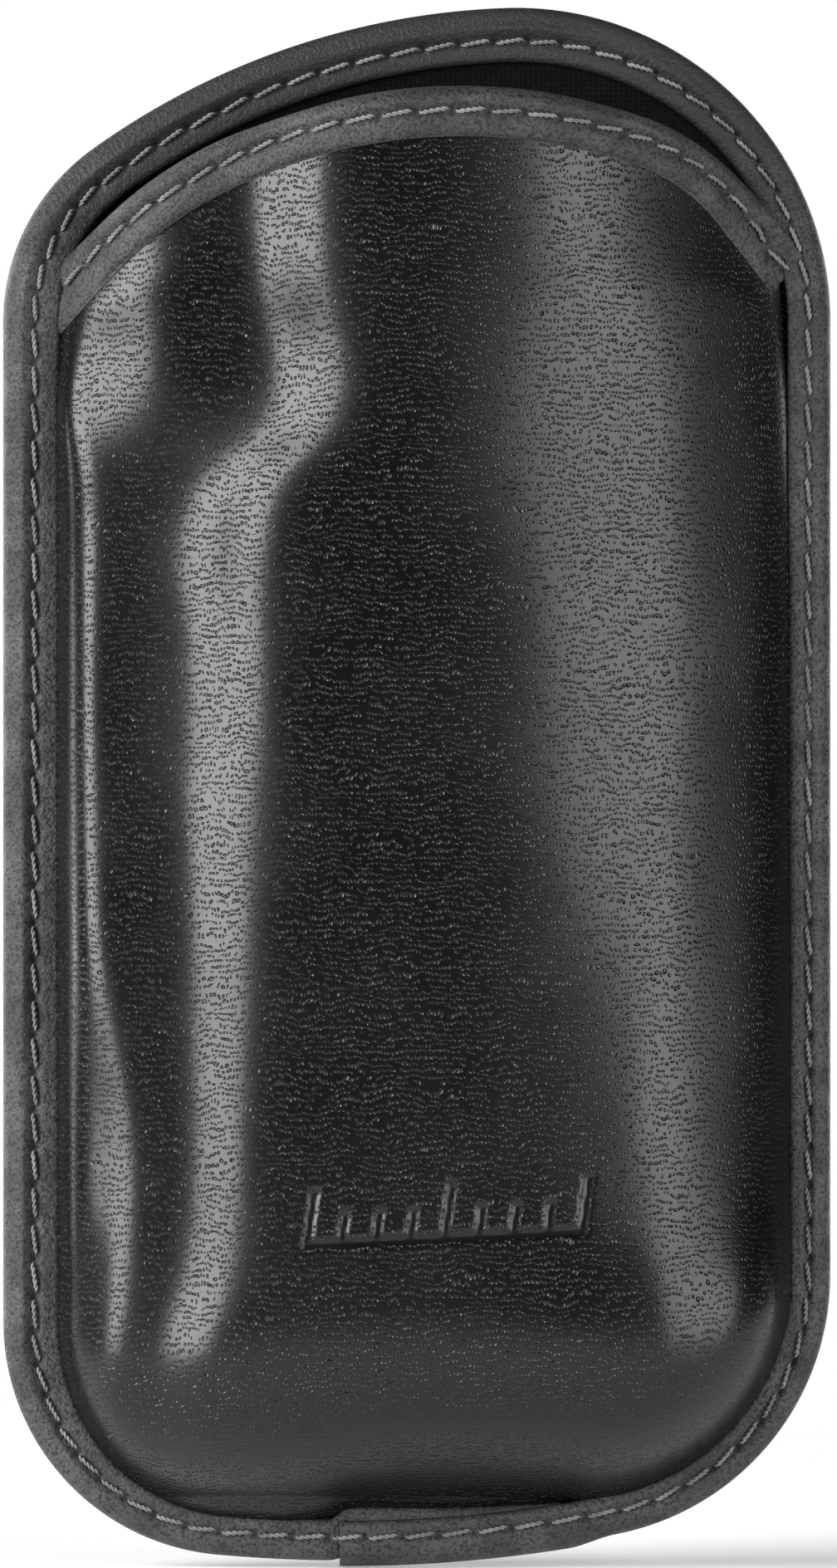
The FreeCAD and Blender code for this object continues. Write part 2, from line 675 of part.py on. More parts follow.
def loop_layer(label, lift, thick, width):
    """One layer of the strap: a flat strip section swept along its side path."""
    body = new_body(label)
    middle = lift + thick.times(0.5, "0.5")
    section = new_sketch(body, label + "_section", "XY_Plane", NONE - size("loop_half_height"))
    y = -SIZES["back_face_ahead"] + middle.number
    half_x, half_y = width.number / 2, thick.number / 2
    corners = [(-half_x, y - half_y), (half_x, y - half_y), (half_x, y + half_y), (-half_x, y + half_y)]
    corners.append(corners[0])
    for p, q in zip(corners, corners[1:]):
        section.addGeometry(segment(*p, *q))
    for one in range(4):
        touch(section, one, 2, (one + 1) % 4, 1)
    for line, way in zip(range(4), ("Horizontal", "Vertical") * 2):
        section.addConstraint(Sketcher.Constraint(way, line))
    bind(section, "DistanceX", (0, 1, 0, 2), width)
    bind(section, "DistanceX", (0, 1, -1, 1), width.times(0.5, "0.5"))
    bind(section, "DistanceY", (1, 1, 1, 2), thick)
    bind(section, "DistanceY", (0, 1, -1, 1), size("back_face_ahead") - lift)
    path = loop_path(body, label + "_path", middle)
    sweep = body.newObject("PartDesign::AdditivePipe", "sweep")
    sweep.Profile = section
    sweep.Spine = (path, [])
    section.Visibility = False
    path.Visibility = False
    doc.recompute()
    return body


LOOP_LINING_LIFT = GAP
LOOP_LEATHER_LIFT = GAP + size("loop_lining") + GAP
belt_loop_lining = loop_layer(
    "belt_loop_lining", LOOP_LINING_LIFT, size("loop_lining"), size("loop_width") - 1
)
belt_loop_strap = loop_layer(
    "belt_loop_strap", LOOP_LEATHER_LIFT, size("loop_leather"), size("loop_width")
)


# ---------------------------------------------------------------- stitches
def stitch(start, end, radius):
    """One laid stitch: a short round-ended piece of thread between two points."""
    along = end - start
    rod = Part.makeCylinder(radius, along.Length, start, along)
    return rod.fuse([Part.makeSphere(radius, start), Part.makeSphere(radius, end)]).removeSplitter()


def spaced_along(wire, pitch):
    """Evenly spaced places along a wire, each with its direction."""
    count = int(round(wire.Length / pitch))
    points = wire.discretize(Number=count * 8 + 1)
    places = []
    for number in range(count):
        here = points[number * 8 + 4]
        way = points[number * 8 + 5] - points[number * 8 + 3]
        way.normalize()
        places.append((here, way))
    return places


def outline_wire(inset):
    """The pouch's outline as a wire in the XZ plane."""
    half = SIZES["half_width"] - inset
    top = radii_of(TOP_WORDS, inset)
    foot = radii_of(FOOT_WORDS, inset)
    left_z, right_z = SIZES["shoulder_left_height"], SIZES["shoulder_right_height"]
    foot_left, foot_right = -SIZES["foot_left_depth"], -SIZES["foot_right_depth"]
    c1, c2, c3, j1, j3 = three_arcs(-half, half, left_z, right_z, top, 1)
    d1, d2, d3, k1, k3 = three_arcs(-half, half, foot_left, foot_right, foot, -1)
    pieces = [
        segment(-half, foot_left, -half, left_z),
        arc(c1, top[0], j1, (-half, left_z)),
        arc(c2, top[1], j3, j1),
        arc(c3, top[2], (half, right_z), j3),
        segment(half, right_z, half, foot_right),
        arc(d3, foot[2], k3, (half, foot_right)),
        arc(d2, foot[1], k1, k3),
        arc(d1, foot[0], (-half, foot_left), k1),
    ]
    edges = [piece.toShape() for piece in pieces]
    wire = Part.Wire(Part.__sortEdges__(edges))
    wire.rotate(FreeCAD.Vector(0, 0, 0), FreeCAD.Vector(1, 0, 0), 90)
    return wire


def bulge_front(x, proud):
    """How far ahead the front's surface is at x, moved outwards; holds above the foot arcs."""
    base = FRONT_PANEL_SEAM.number
    plateau = base + SIZES["bulge_depth"] + proud
    radius = SIZES["bulge_radius"] + proud
    foot = SIZES["bulge_foot_inset"] - proud / math.cos(LEAN)
    inset = SIZES["half_width"] - abs(x)
    centre_ahead = plateau - radius
    centre_inset = foot + (centre_ahead - base) * math.tan(LEAN) + radius / math.cos(LEAN)
    if inset >= centre_inset:
        return plateau
    if inset > centre_inset - radius * math.cos(LEAN):
        return centre_ahead + math.sqrt(radius ** 2 - (centre_inset - inset) ** 2)
    return base + (inset - foot) / math.tan(LEAN)


def mouth_curve(inset):
    """The arched mouth line as a flat wire in the XZ plane."""
    left = -SIZES["mouth_left_edge"] + inset
    right = SIZES["mouth_right_edge"] - inset
    left_z, right_z = SIZES["mouth_left_height"], SIZES["mouth_right_height"]
    radii = radii_of(MOUTH_WORDS, inset)
    c1, c2, c3, j1, j3 = three_arcs(left, right, left_z, right_z, radii, 1)
    pieces = [
        arc(c1, radii[0], j1, (left, left_z)),
        arc(c2, radii[1], j3, j1),
        arc(c3, radii[2], (right, right_z), j3),
    ]
    wire = Part.Wire(Part.__sortEdges__([piece.toShape() for piece in pieces]))
    wire.rotate(FreeCAD.Vector(0, 0, 0), FreeCAD.Vector(1, 0, 0), 90)
    return wire


def edge_thread(label, front):
    """The row of stitches that shows on one side of the edge binding."""
    radius = SIZES["thread_radius"]
    half = SIZES["stitch_length"] / 2 - radius
    step = SIZES["binding_step_height"]
    stitches = []
    for here, way in spaced_along(outline_wire(SIZES["edge_stitch_inset"]), SIZES["stitch_pitch"]):
        if abs(here.z - step) < 2.4:
            continue
        ahead = BINDING_BACK.number - radius - 0.02
        if front:
            ahead = BINDING_FRONT.number if here.z < step else BINDING_TOP_FRONT.number
            over = -SIZES["overlap_left"] - 2.2 < here.x < SIZES["overlap_right"] + 2.2
            if here.z < -100 and over:
                ahead += SIZES["overlap_rise"]
            ahead += radius + 0.02
        middle = FreeCAD.Vector(here.x, -ahead, here.z)
        stitches.append(stitch(middle - way * half, middle + way * half, radius))
    feature = doc.addObject("Part::Feature", label)
    feature.Label = label
    feature.Shape = Part.makeCompound(stitches)
    feature.Placement = FreeCAD.Placement()
    return feature


def mouth_thread(label, proud):
    """The row of stitches on one side of the mouth binding; proud is off the front's surface."""
    radius = SIZES["thread_radius"]
    curve = mouth_curve(SIZES["mouth_stitch_inset"]).discretize(Number=2001)
    side = SIZES["half_width"] - SIZES["edge_binding_width"] - 2.6
    clear_of_edge = BINDING_FRONT.number + 2.0
    points = []
    for p in curve:
        ahead = bulge_front(p.x, proud)
        if abs(p.x) < side and ahead > clear_of_edge:
            points.append(FreeCAD.Vector(p.x, -ahead, p.z))
    lengths = [0.0]
    for p, q in zip(points, points[1:]):
        lengths.append(lengths[-1] + (q - p).Length)
    count = int(lengths[-1] / SIZES["stitch_pitch"])
    pitch = lengths[-1] / count
    half = SIZES["stitch_length"] / 2 - radius

    def at(place):
        for number, length in enumerate(lengths):
            if length >= place:
                return points[number]
        return points[-1]

    stitches = []
    for number in range(count):
        middle = (number + 0.5) * pitch
        stitches.append(stitch(at(middle - half), at(middle + half), radius))
    feature = doc.addObject("Part::Feature", label)
    feature.Label = label
    feature.Shape = Part.makeCompound(stitches)
    feature.Placement = FreeCAD.Placement()
    return feature


def loop_thread(label, way):
    """A box of stitches that holds one end of the belt loop; way is 1 above, -1 below."""
    radius = SIZES["thread_radius"]
    half = SIZES["stitch_length"] / 2 - radius
    lift = LOOP_LEATHER_LIFT.number + SIZES["loop_leather"] + radius + 0.02
    y = -SIZES["back_face_ahead"] + lift
    end = SIZES["loop_half_height"] - 2.6
    low = end - 6.0
    side = SIZES["loop_width"] / 2 - 2.6
    across = int((2 * side - 3.0) / SIZES["stitch_pitch"])
    stitches = []
    for z in (low, end):
        for number in range(across):
            x = (number - (across - 1) / 2) * SIZES["stitch_pitch"]
            middle = FreeCAD.Vector(x, y, way * z)
            reach = FreeCAD.Vector(half, 0, 0)
            stitches.append(stitch(middle - reach, middle + reach, radius))
    for x in (-side, side):
        middle = FreeCAD.Vector(x, y, way * (low + end) / 2)
        reach = FreeCAD.Vector(0, 0, half)
        stitches.append(stitch(middle - reach, middle + reach, radius))
    feature = doc.addObject("Part::Feature", label)
    feature.Label = label
    feature.Shape = Part.makeCompound(stitches)
    feature.Placement = FreeCAD.Placement()
    return feature


INSIDE_PROUD = -(STACK.number + SIZES["clearance"] + SIZES["tape"] + SIZES["thread_radius"] + 0.03)
OUTSIDE_PROUD = SIZES["clearance"] + SIZES["tape"] + SIZES["thread_radius"] + 0.16
threads = [
    edge_thread("edge_front_thread", True),
    edge_thread("edge_back_thread", False),
    mouth_thread("mouth_front_thread", OUTSIDE_PROUD),
    mouth_thread("mouth_inner_thread", INSIDE_PROUD),
    loop_thread("belt_loop_upper_thread", 1),
    loop_thread("belt_loop_lower_thread", -1),
]

# ---------------------------------------------------------------- check and write
doc.recompute()
for item in doc.Objects:
    if {"Invalid", "Error"} & set(item.State):
        raise RuntimeError("%s did not recompute: %s" % (item.Label, item.State))

pieces = [front_panel, front_foam, front_lining, back_panel, back_foam, back_lining]
pieces += [edge_binding, mouth_binding, belt_loop_strap, belt_loop_lining]
pieces += threads
for piece in pieces:
    shape = piece.Shape
    if shape.isNull() or not shape.isValid():
        raise RuntimeError("%s has a bad shape" % piece.Label)
    shape.exportStep("parts/%s.step" % piece.Label)
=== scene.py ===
import math
import bpy
import numpy as np
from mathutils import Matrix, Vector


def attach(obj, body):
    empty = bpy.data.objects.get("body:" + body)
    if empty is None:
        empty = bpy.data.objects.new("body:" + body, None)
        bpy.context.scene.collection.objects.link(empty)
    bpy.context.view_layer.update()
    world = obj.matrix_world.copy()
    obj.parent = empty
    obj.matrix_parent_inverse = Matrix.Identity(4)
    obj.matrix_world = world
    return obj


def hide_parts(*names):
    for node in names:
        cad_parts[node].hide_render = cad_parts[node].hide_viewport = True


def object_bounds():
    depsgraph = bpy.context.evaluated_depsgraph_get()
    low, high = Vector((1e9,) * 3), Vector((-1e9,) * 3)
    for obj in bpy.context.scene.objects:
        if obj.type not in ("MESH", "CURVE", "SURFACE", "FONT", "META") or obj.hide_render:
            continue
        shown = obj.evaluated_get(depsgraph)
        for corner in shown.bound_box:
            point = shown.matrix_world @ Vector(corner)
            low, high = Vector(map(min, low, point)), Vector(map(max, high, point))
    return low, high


# The soft pouch for a handheld light meter. Sizes are in millimetres until a mesh is made.
# x is to the right of the front, "ahead" is towards the viewer (-Y), z is up from the belt loop's middle.

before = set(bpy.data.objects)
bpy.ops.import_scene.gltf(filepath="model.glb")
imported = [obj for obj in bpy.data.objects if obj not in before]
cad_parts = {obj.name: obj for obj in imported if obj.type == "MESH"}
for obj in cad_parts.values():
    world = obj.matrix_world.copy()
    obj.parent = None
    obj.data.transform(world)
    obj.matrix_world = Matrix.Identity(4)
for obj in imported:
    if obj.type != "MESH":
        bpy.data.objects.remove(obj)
cad_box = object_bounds()
MM = 0.001
PI = math.pi

# -------- sizes, as in the CAD model
HALF = 49.8
TOP = dict(z=(27.3, 27.4), r=(25.7, 90.7, 37.8))
FOOT = dict(z=(-93.0, -87.4), r=(28.2, 171.0, 31.8))
MOUTH = dict(x=(-56.5, 47.0), z=(-2.0, 25.4), r=(55.8, 74.0, 27.5))
BACK_FACE = 3.0
FLANGE = 6.15
BINDING_BACK = 2.05
BINDING_FRONT = 7.1
BINDING_TOP_FRONT = 5.5
STACK = 3.6
TAPE = 0.9
CUT_END_X = -9.3
TAIL_END_X = 19.0
PITCH = 4.5
FLOOR_DROP = 0.0008      # metres: the stage lies this far below the CAD model's lowest point
SOLE = 122.0             # how far the sole lies below the origin
CROWN = 19.6             # how far the front stands ahead of its flange at its middle


# -------- small curves
def smooth(t):
    """0 before 0, 1 after 1, and a soft S in between."""
    t = np.clip(t, 0.0, 1.0)
    return t * t * (3.0 - 2.0 * t)


def unit(v, least=0.0):
    """Vectors made one long."""
    return v / (np.linalg.norm(v, axis=-1, keepdims=True) + least)


def lengths_along(points):
    """Distance along a line of points, from its first."""
    return np.concatenate([[0.0], np.cumsum(np.linalg.norm(np.diff(points, axis=0), axis=1))])


def hump(t):
    """A soft bell, 1 at 0 and nearly 0 past 2."""
    return np.exp(-t * t)


def round_drop(t):
    """How far a quarter of a circle has dropped, from 0 at 0 to 1 at 1."""
    return 1.0 - np.sqrt(np.clip(1.0 - np.clip(t, 0.0, 1.0) ** 2, 0.0, 1.0))


def blob(x, z, at, wide, high, turn=0.0):
    """A soft oval bell on the front, turned by an angle in degrees."""
    a = math.radians(turn)
    dx, dz = x - at[0], z - at[1]
    u = (dx * math.cos(a) + dz * math.sin(a)) / wide
    v = (dz * math.cos(a) - dx * math.sin(a)) / high
    return np.exp(-u * u - v * v)


# -------- outline of the pouch
def three_arcs(left, right, z, radii, way):
    """Centres of two corner arcs and of the long arc that joins them."""
    r1, r2, r3 = radii
    c1 = np.array([left + r1, z[0]])
    c3 = np.array([right - r3, z[1]])
    apart = c3 - c1
    gap = np.hypot(*apart)
    along = ((r2 - r1) ** 2 - (r2 - r3) ** 2 + gap ** 2) / (2 * gap)
    down = math.sqrt((r2 - r1) ** 2 - along ** 2)
    side = np.array([apart[1], -apart[0]]) / gap
    return c1, c1 + apart / gap * along + way * side * down, c3


def angle_of(p, q):
    """Direction from one point to another."""
    return math.atan2(q[1] - p[1], q[0] - p[0])


def arc_points(centre, radius, start, end, count):
    """Points along an arc, from one angle to another."""
    a = np.linspace(start, end, count)
    return np.stack([centre[0] + radius * np.cos(a), centre[1] + radius * np.sin(a)], -1)


RIGHT_FOOT, RIGHT_TOP, LEFT_TOP, LEFT_FOOT = 1, 3, 5, 7     # the outline's corners among its parts


class Outline:
    """The pouch's outline, run anticlockwise as seen from the front, from the sole's left end."""

    def __init__(self):
        f1, f2, f3 = three_arcs(-HALF, HALF, FOOT["z"], FOOT["r"], -1)
        t1, t2, t3 = three_arcs(-HALF, HALF, TOP["z"], TOP["r"], 1)
        a1, a3 = angle_of(f2, f1), angle_of(f2, f3)
        b1, b3 = angle_of(t2, t1), angle_of(t2, t3)
        self.parts = [
            ("arc", f2, FOOT["r"][1], a1, a3),
            ("arc", f3, FOOT["r"][2], a3, 0.0),
            ("line", (HALF, FOOT["z"][1]), (HALF, TOP["z"][1]), 1.0),
            ("arc", t3, TOP["r"][2], 0.0, b3),
            ("arc", t2, TOP["r"][1], b3, b1),
            ("arc", t1, TOP["r"][0], b1, PI),
            ("line", (-HALF, TOP["z"][0]), (-HALF, FOOT["z"][0]), -1.0),
            ("arc", f1, FOOT["r"][0], -PI, a1),
        ]
        self.lengths = [self.length_of(part) for part in self.parts]
        self.total = sum(self.lengths)

    @staticmethod
    def length_of(part):
        if part[0] == "arc":
            return part[2] * (part[4] - part[3])
        return abs(part[2][1] - part[1][1])

    def at(self, s):
        """Points and outward directions at distances s along the outline."""
        s = np.mod(np.asarray(s, float), self.total)
        point = np.zeros(s.shape + (2,))
        out = np.zeros(s.shape + (2,))
        start = 0.0
        for part, length in zip(self.parts, self.lengths):
            here = (s >= start) & (s <= start + length)
            t = (s[here] - start) / length
            if part[0] == "arc":
                a = part[3] + (part[4] - part[3]) * t
                way = np.stack([np.cos(a), np.sin(a)], -1)
                point[here] = part[1] + part[2] * way
                out[here] = way
            else:
                z = part[1][1] + (part[2][1] - part[1][1]) * t
                point[here] = np.stack([np.full(z.shape, part[1][0]), z], -1)
                out[here] = (part[3], 0.0)
            start += length
        return point, out

    def middle_of(self, number):
        """Distance along the outline to the middle of one of its parts."""
        return sum(self.lengths[:number]) + self.lengths[number] * 0.5

    def inside(self, start, end, inset, samples):
        """Points along a stretch of the outline, moved inwards."""
        point, out = self.at(np.linspace(start, end, samples))
        return point - out * inset

    def sole_place(self, x):
        """Distance along the outline to the place on the sole at x."""
        centre, radius = self.parts[0][1], self.parts[0][2]
        return radius * (math.asin((x - centre[0]) / radius) - PI / 2 - self.parts[0][3])


OUTLINE = Outline()


def by_side(out, left, right, top, bottom):
    """A size that differs between the four sides and changes gently round the corners."""
    x, z = out[..., 0], out[..., 1]
    size = np.where(x < 0, left, right) * x * x
    return size + np.where(z < 0, bottom, top) * z * z


def tape_width(out):
    """How far in the edge's tape reaches."""
    return by_side(out, 7.1, 5.2, 6.7, 5.0)


def stitch_inset(out):
    """Distance in from the outline to the edge's stitches."""
    return by_side(out, 3.8, 2.7, 4.1, 2.9)


def trough_inset(x, z):
    """Distance in from the outline, its sides taken straight up, and the way out to it."""
    left, right = HALF + x, HALF - x
    inset = np.minimum(left, right)
    out = np.stack([np.where(left < right, -1.0, 1.0), np.zeros_like(x)], -1)
    for number in (LEFT_FOOT, 0, RIGHT_FOOT):
        _, centre, radius, start, end = OUTLINE.parts[number]
        dx, dz = x - centre[0], z - centre[1]
        reach = np.hypot(dx, dz) + 1e-9
        angle = np.arctan2(dz, dx)
        here = (angle >= start) & (angle <= end) & (radius - reach < inset)
        inset = np.where(here, radius - reach, inset)
        out = np.where(here[..., None], np.stack([dx / reach, dz / reach], -1), out)
    return inset, out


# -------- the mouth's arched line
def mouth_line(count, inset=0.0):
    """Points along the mouth's edge, from its left end to its right end, out to the pouch's sides."""
    left, right = MOUTH["x"][0] + inset, MOUTH["x"][1] - inset
    radii = [r - inset for r in MOUTH["r"]]
    c1, c2, c3 = three_arcs(left, right, MOUTH["z"], radii, 1)
    a1, a3 = angle_of(c2, c1), angle_of(c2, c3)
    arcs = ((c1, radii[0], PI, a1), (c2, radii[1], a1, a3), (c3, radii[2], a3, 0.02))
    line = np.concatenate([arc_points(*arc, 400) for arc in arcs])
    line = line[(line[:, 0] > -41.5) & (line[:, 0] < 41.0)]
    # both ends run on straight, under the edge's tape
    first = line[0] + unit(line[0] - line[1]) * 9.5
    last = line[-1] + unit(line[-1] - line[-2]) * 12.5
    line = np.concatenate([[first], line, [last]])
    return even(line, count)


def between(s, far, values):
    """Vectors at distances s, from vectors known at distances far."""
    return np.stack([np.interp(s, far, values[:, k]) for k in range(values.shape[1])], -1)


def even(line, count):
    """Points along a polyline at even distances."""
    far = lengths_along(line)
    return between(np.linspace(0.0, 1.0, count) * far[-1], far, line)


# -------- shape of the bulged front
def step(t):
    """A very soft step from 0 to 1, centred at 0."""
    return 0.5 + 0.5 * np.tanh(t)


def tail_extra(x):
    """How much further in the tape's tail reaches than the tape that lies over it."""
    length = TAIL_END_X - CUT_END_X
    left = np.clip((TAIL_END_X - x) / length, 0.0, 1.0)
    return 1.8 * step((x - CUT_END_X + 1.2) / 0.5) * left ** 0.8


def fold_x(h):
    """Where the long fold down the left side runs, at each height above the sole."""
    x = -23.9 - 5.0 * step((31.0 - h) / 8.0) + 0.7 * step((h - 96.0) / 6.0)
    x = x + 10.5 * step((h - 132.5) / 5.0)
    return x - 3.2 * step((h - 150.0) / 6.5)


def right_dome(x, h):
    """How far the right of the front falls away, as a dome with a shoulder, for each height."""
    top = step((h - 152.0) / 6.0)
    bend = (0.0072 + 0.0074 * step((h - 78.0) / 16.0)) * step((h - 38.0) / 7.0) - 0.0031 * top
    right = np.clip(x + 1.0 + 3.5 * step((h - 125.0) / 10.0), 0.0, 60.0)

    # the shoulder is sharp low down, soft above, and nearer the middle at the mouth
    shoulder = 0.40 - 0.26 * step((h - 80.0) / 18.0) + 0.13 * top
    past = x - 29.5 + 11.5 * top
    return bend * right ** 2 / 2.0 + shoulder * (past + np.sqrt(past ** 2 + 9.0)) / 2.0


def left_folds(x, h):
    """How far the slack left side lies below the middle: the long fold and a short one by the seam."""
    left = np.clip(-4.0 - x, 0.0, 60.0)
    fold = fold_x(h) - x
    tight = 4.2 - 0.5 * step((70.0 - h) / 14.0)
    turning = 1.0 - 0.3 * hump((h - 132.0) / 8.0)
    deep = 3.0 + 0.6 * step((h - 92.0) / 8.0) + 0.4 * step((h - 126.0) / 6.0)
    wide = 1.5 + 1.4 * step((h - 70.0) / 20.0)
    drop = left ** 2 / 500.0 + turning * (deep * step(fold / tight) + wide * step((fold + 4.0) / 7.0))
    drop = drop + 2.8 * hump((h - 132.0) / 13.0) * step((-25.0 - x) / 7.0)

    # the short fold near the left seam, low down
    low = hump((h - 46.0) / 27.0)
    second_x = -36.6 - 4.0 * ((h - 46.0) / 27.0) ** 2
    return drop + 3.0 * low * step((second_x - x) / 3.0)


def mouth_corner(x, h):
    """The lobe under the mouth's left corner, its outer slope and the hollow beside it."""
    lobe = hump((h - 146.0) / 13.0)
    outer = -36.3 - 4.0 * step((140.0 - h) / 6.0)
    rise = 0.7 * blob(x, h, (-30.0, 146.0), 6.0, 12.0) - 4.6 * lobe * step((outer - x) / 6.0)
    rise = rise - 0.2 * blob(x, h, (-22.5, 148.0), 4.5, 9.0)
    rise = rise - 0.7 * blob(x, h, (-35.5, 105.0), 6.0, 20.0)
    return rise + 0.4 * blob(x, h, (-19.0, 122.0), 8.0, 6.0, 45)


def seam_inset(x, z):
    """Distance in from where the front meets the edge's tape, and the way out to it."""
    inset, out = trough_inset(x, z)
    left = np.clip((TAIL_END_X + 1.0 - x) / 29.0, 0.0, 1.0)
    tail = 2.0 * smooth((x + 17.0) / 13.0) * left ** 0.8 * np.where(z < -100.0, out[..., 1] ** 2, 0.0)
    near = np.exp(-(np.maximum(inset - 6.0, 0.0) / 7.0) ** 2)
    return np.maximum(inset - tape_width(out) - tail * near + 0.8, 0.0), out


def front_ahead(x, z):
    """How far ahead of the origin the outer face of the front is at each place."""
    e, out = seam_inset(x, z)
    h = z + SOLE
    shape = CROWN - right_dome(x, h) - left_folds(x, h) + mouth_corner(x, h)

    # the foot falls away to the seam, with a shallow arched dent in its middle
    shape = shape - 2.2 * step((-38.5 - x) / 2.5) * step((38.0 - h) / 5.0)
    shape = shape * (1.0 - 0.68 * np.clip((33.0 - h) / 25.0, 0.0, 1.0) ** 3)
    shape = shape - 2.6 * blob(x, h, (6.0, 11.0), 15.0, 4.6)

    # it never sinks below its flange, and turns down into the seam more sharply at the sides
    shape = 0.4 + 0.5 * (shape - 0.4 + np.sqrt((shape - 0.4) ** 2 + 1.0))
    corner = 5.0 * step((h - 154.0) / 3.0)
    left_turn = 2.5 - 1.4 * hump((h - 139.0) / 8.0) + corner
    right_turn = 2.2 + corner + step((60.0 - h) / 8.0)
    turn = by_side(out, left_turn, right_turn, 4.0, 4.4)
    return FLANGE + shape * np.tanh(e / turn)


def on_front(place):
    """Points on the front's outer face, at places given by x and z."""
    return np.stack([place[..., 0], front_ahead(place[..., 0], place[..., 1]), place[..., 1]], -1)


# -------- mesh helpers
def to_metres(points):
    """(x, ahead, z) in millimetres to the frame's metres."""
    flat = np.asarray(points, float).reshape(-1, 3)
    return np.stack([flat[:, 0], -flat[:, 1], flat[:, 2]], -1) * MM


def make_piece(name, verts, faces, material, grain=None):
    """A mesh object that rides the pouch; grain gives each vertex its place on the flat material."""
    mesh = bpy.data.meshes.new(name)
    mesh.from_pydata([tuple(v) for v in verts], [], [tuple(f) for f in faces])
    if grain is not None:
        layer = mesh.uv_layers.new(name="grain")
        corner = np.zeros(len(mesh.loops), dtype=np.int64)
        mesh.loops.foreach_get("vertex_index", corner)
        layer.data.foreach_set("uv", grain[corner].astype(np.float32).ravel())
    mesh.validate()
    mesh.update()
    mesh.shade_smooth()
    piece = bpy.data.objects.new(name, mesh)
    bpy.context.scene.collection.objects.link(piece)
    mesh.materials.append(material)
    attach(piece, "root")
    return piece


def grid_faces(rows, cols, closed_cols=False, start=0, flip=False):
    """Four-sided faces of a grid of vertices, numbered row by row from a start."""
    r = np.arange(rows - 1)
    c = np.arange(cols if closed_cols else cols - 1)
    rr, cc = np.meshgrid(r, c, indexing="ij")
    r2, c2 = rr + 1, (cc + 1) % cols
    quads = np.stack([rr * cols + cc, rr * cols + c2, r2 * cols + c2, r2 * cols + cc], -1)
    quads = quads.reshape(-1, 4) + start
    return quads[:, ::-1] if flip else quads


def grid_normals(points):
    """Unit normals of a grid of points, towards the front."""
    normal = unit(np.cross(np.gradient(points, axis=1), np.gradient(points, axis=0)), 1e-12)
    return normal * np.sign(normal[..., 1].mean())


def flat_places(points):
    """Each grid point's place, in mm, on the flat material: twice over, for both faces of a slab."""
    across = np.linalg.norm(np.diff(points, axis=1), axis=-1)
    up = np.linalg.norm(np.diff(points, axis=0), axis=-1)
    rows, cols = points.shape[:2]
    u = np.zeros((rows, cols))
    v = np.zeros((rows, cols))
    u[:, 1:] = np.cumsum(across, axis=1)
    v[1:] = np.cumsum(up, axis=0)
    r, c = rows // 2, cols // 2
    u += (points[:, c, 0] - u[:, c])[:, None]
    v += points[r, :, 2] - v[r]
    flat = np.stack([u, v], -1).reshape(-1, 2)
    return np.concatenate([flat, flat])


def slab(outer, inner):
    """Vertices and faces of a closed sheet between two grids of points."""
    rows, cols = outer.shape[:2]
    verts = np.concatenate([outer.reshape(-1, 3), inner.reshape(-1, 3)])
    half = rows * cols
    faces = [grid_faces(rows, cols, flip=True), grid_faces(rows, cols, start=half)]
    ring = [(0, c) for c in range(cols)] + [(r, cols - 1) for r in range(1, rows)]
    ring += [(rows - 1, c) for c in range(cols - 2, -1, -1)] + [(r, 0) for r in range(rows - 2, 0, -1)]
    loop = np.array([r * cols + c for r, c in ring])
    after = np.roll(loop, -1)
    faces.append(np.stack([loop, after, after + half, loop + half], -1))
    return verts, np.concatenate(faces)


def coons(bottom, top, left, right):
    """A grid of points that fills four joined border lines."""
    cols, rows = len(bottom), len(left)
    u = np.linspace(0, 1, cols)[None, :, None]
    v = np.linspace(0, 1, rows)[:, None, None]
    across = (1 - v) * bottom[None] + v * top[None]
    up = (1 - u) * left[:, None] + u * right[:, None]
    corners = (1 - u) * (1 - v) * bottom[0] + u * (1 - v) * bottom[-1]
    corners = corners + (1 - u) * v * top[0] + u * v * top[-1]
    return across + up - corners


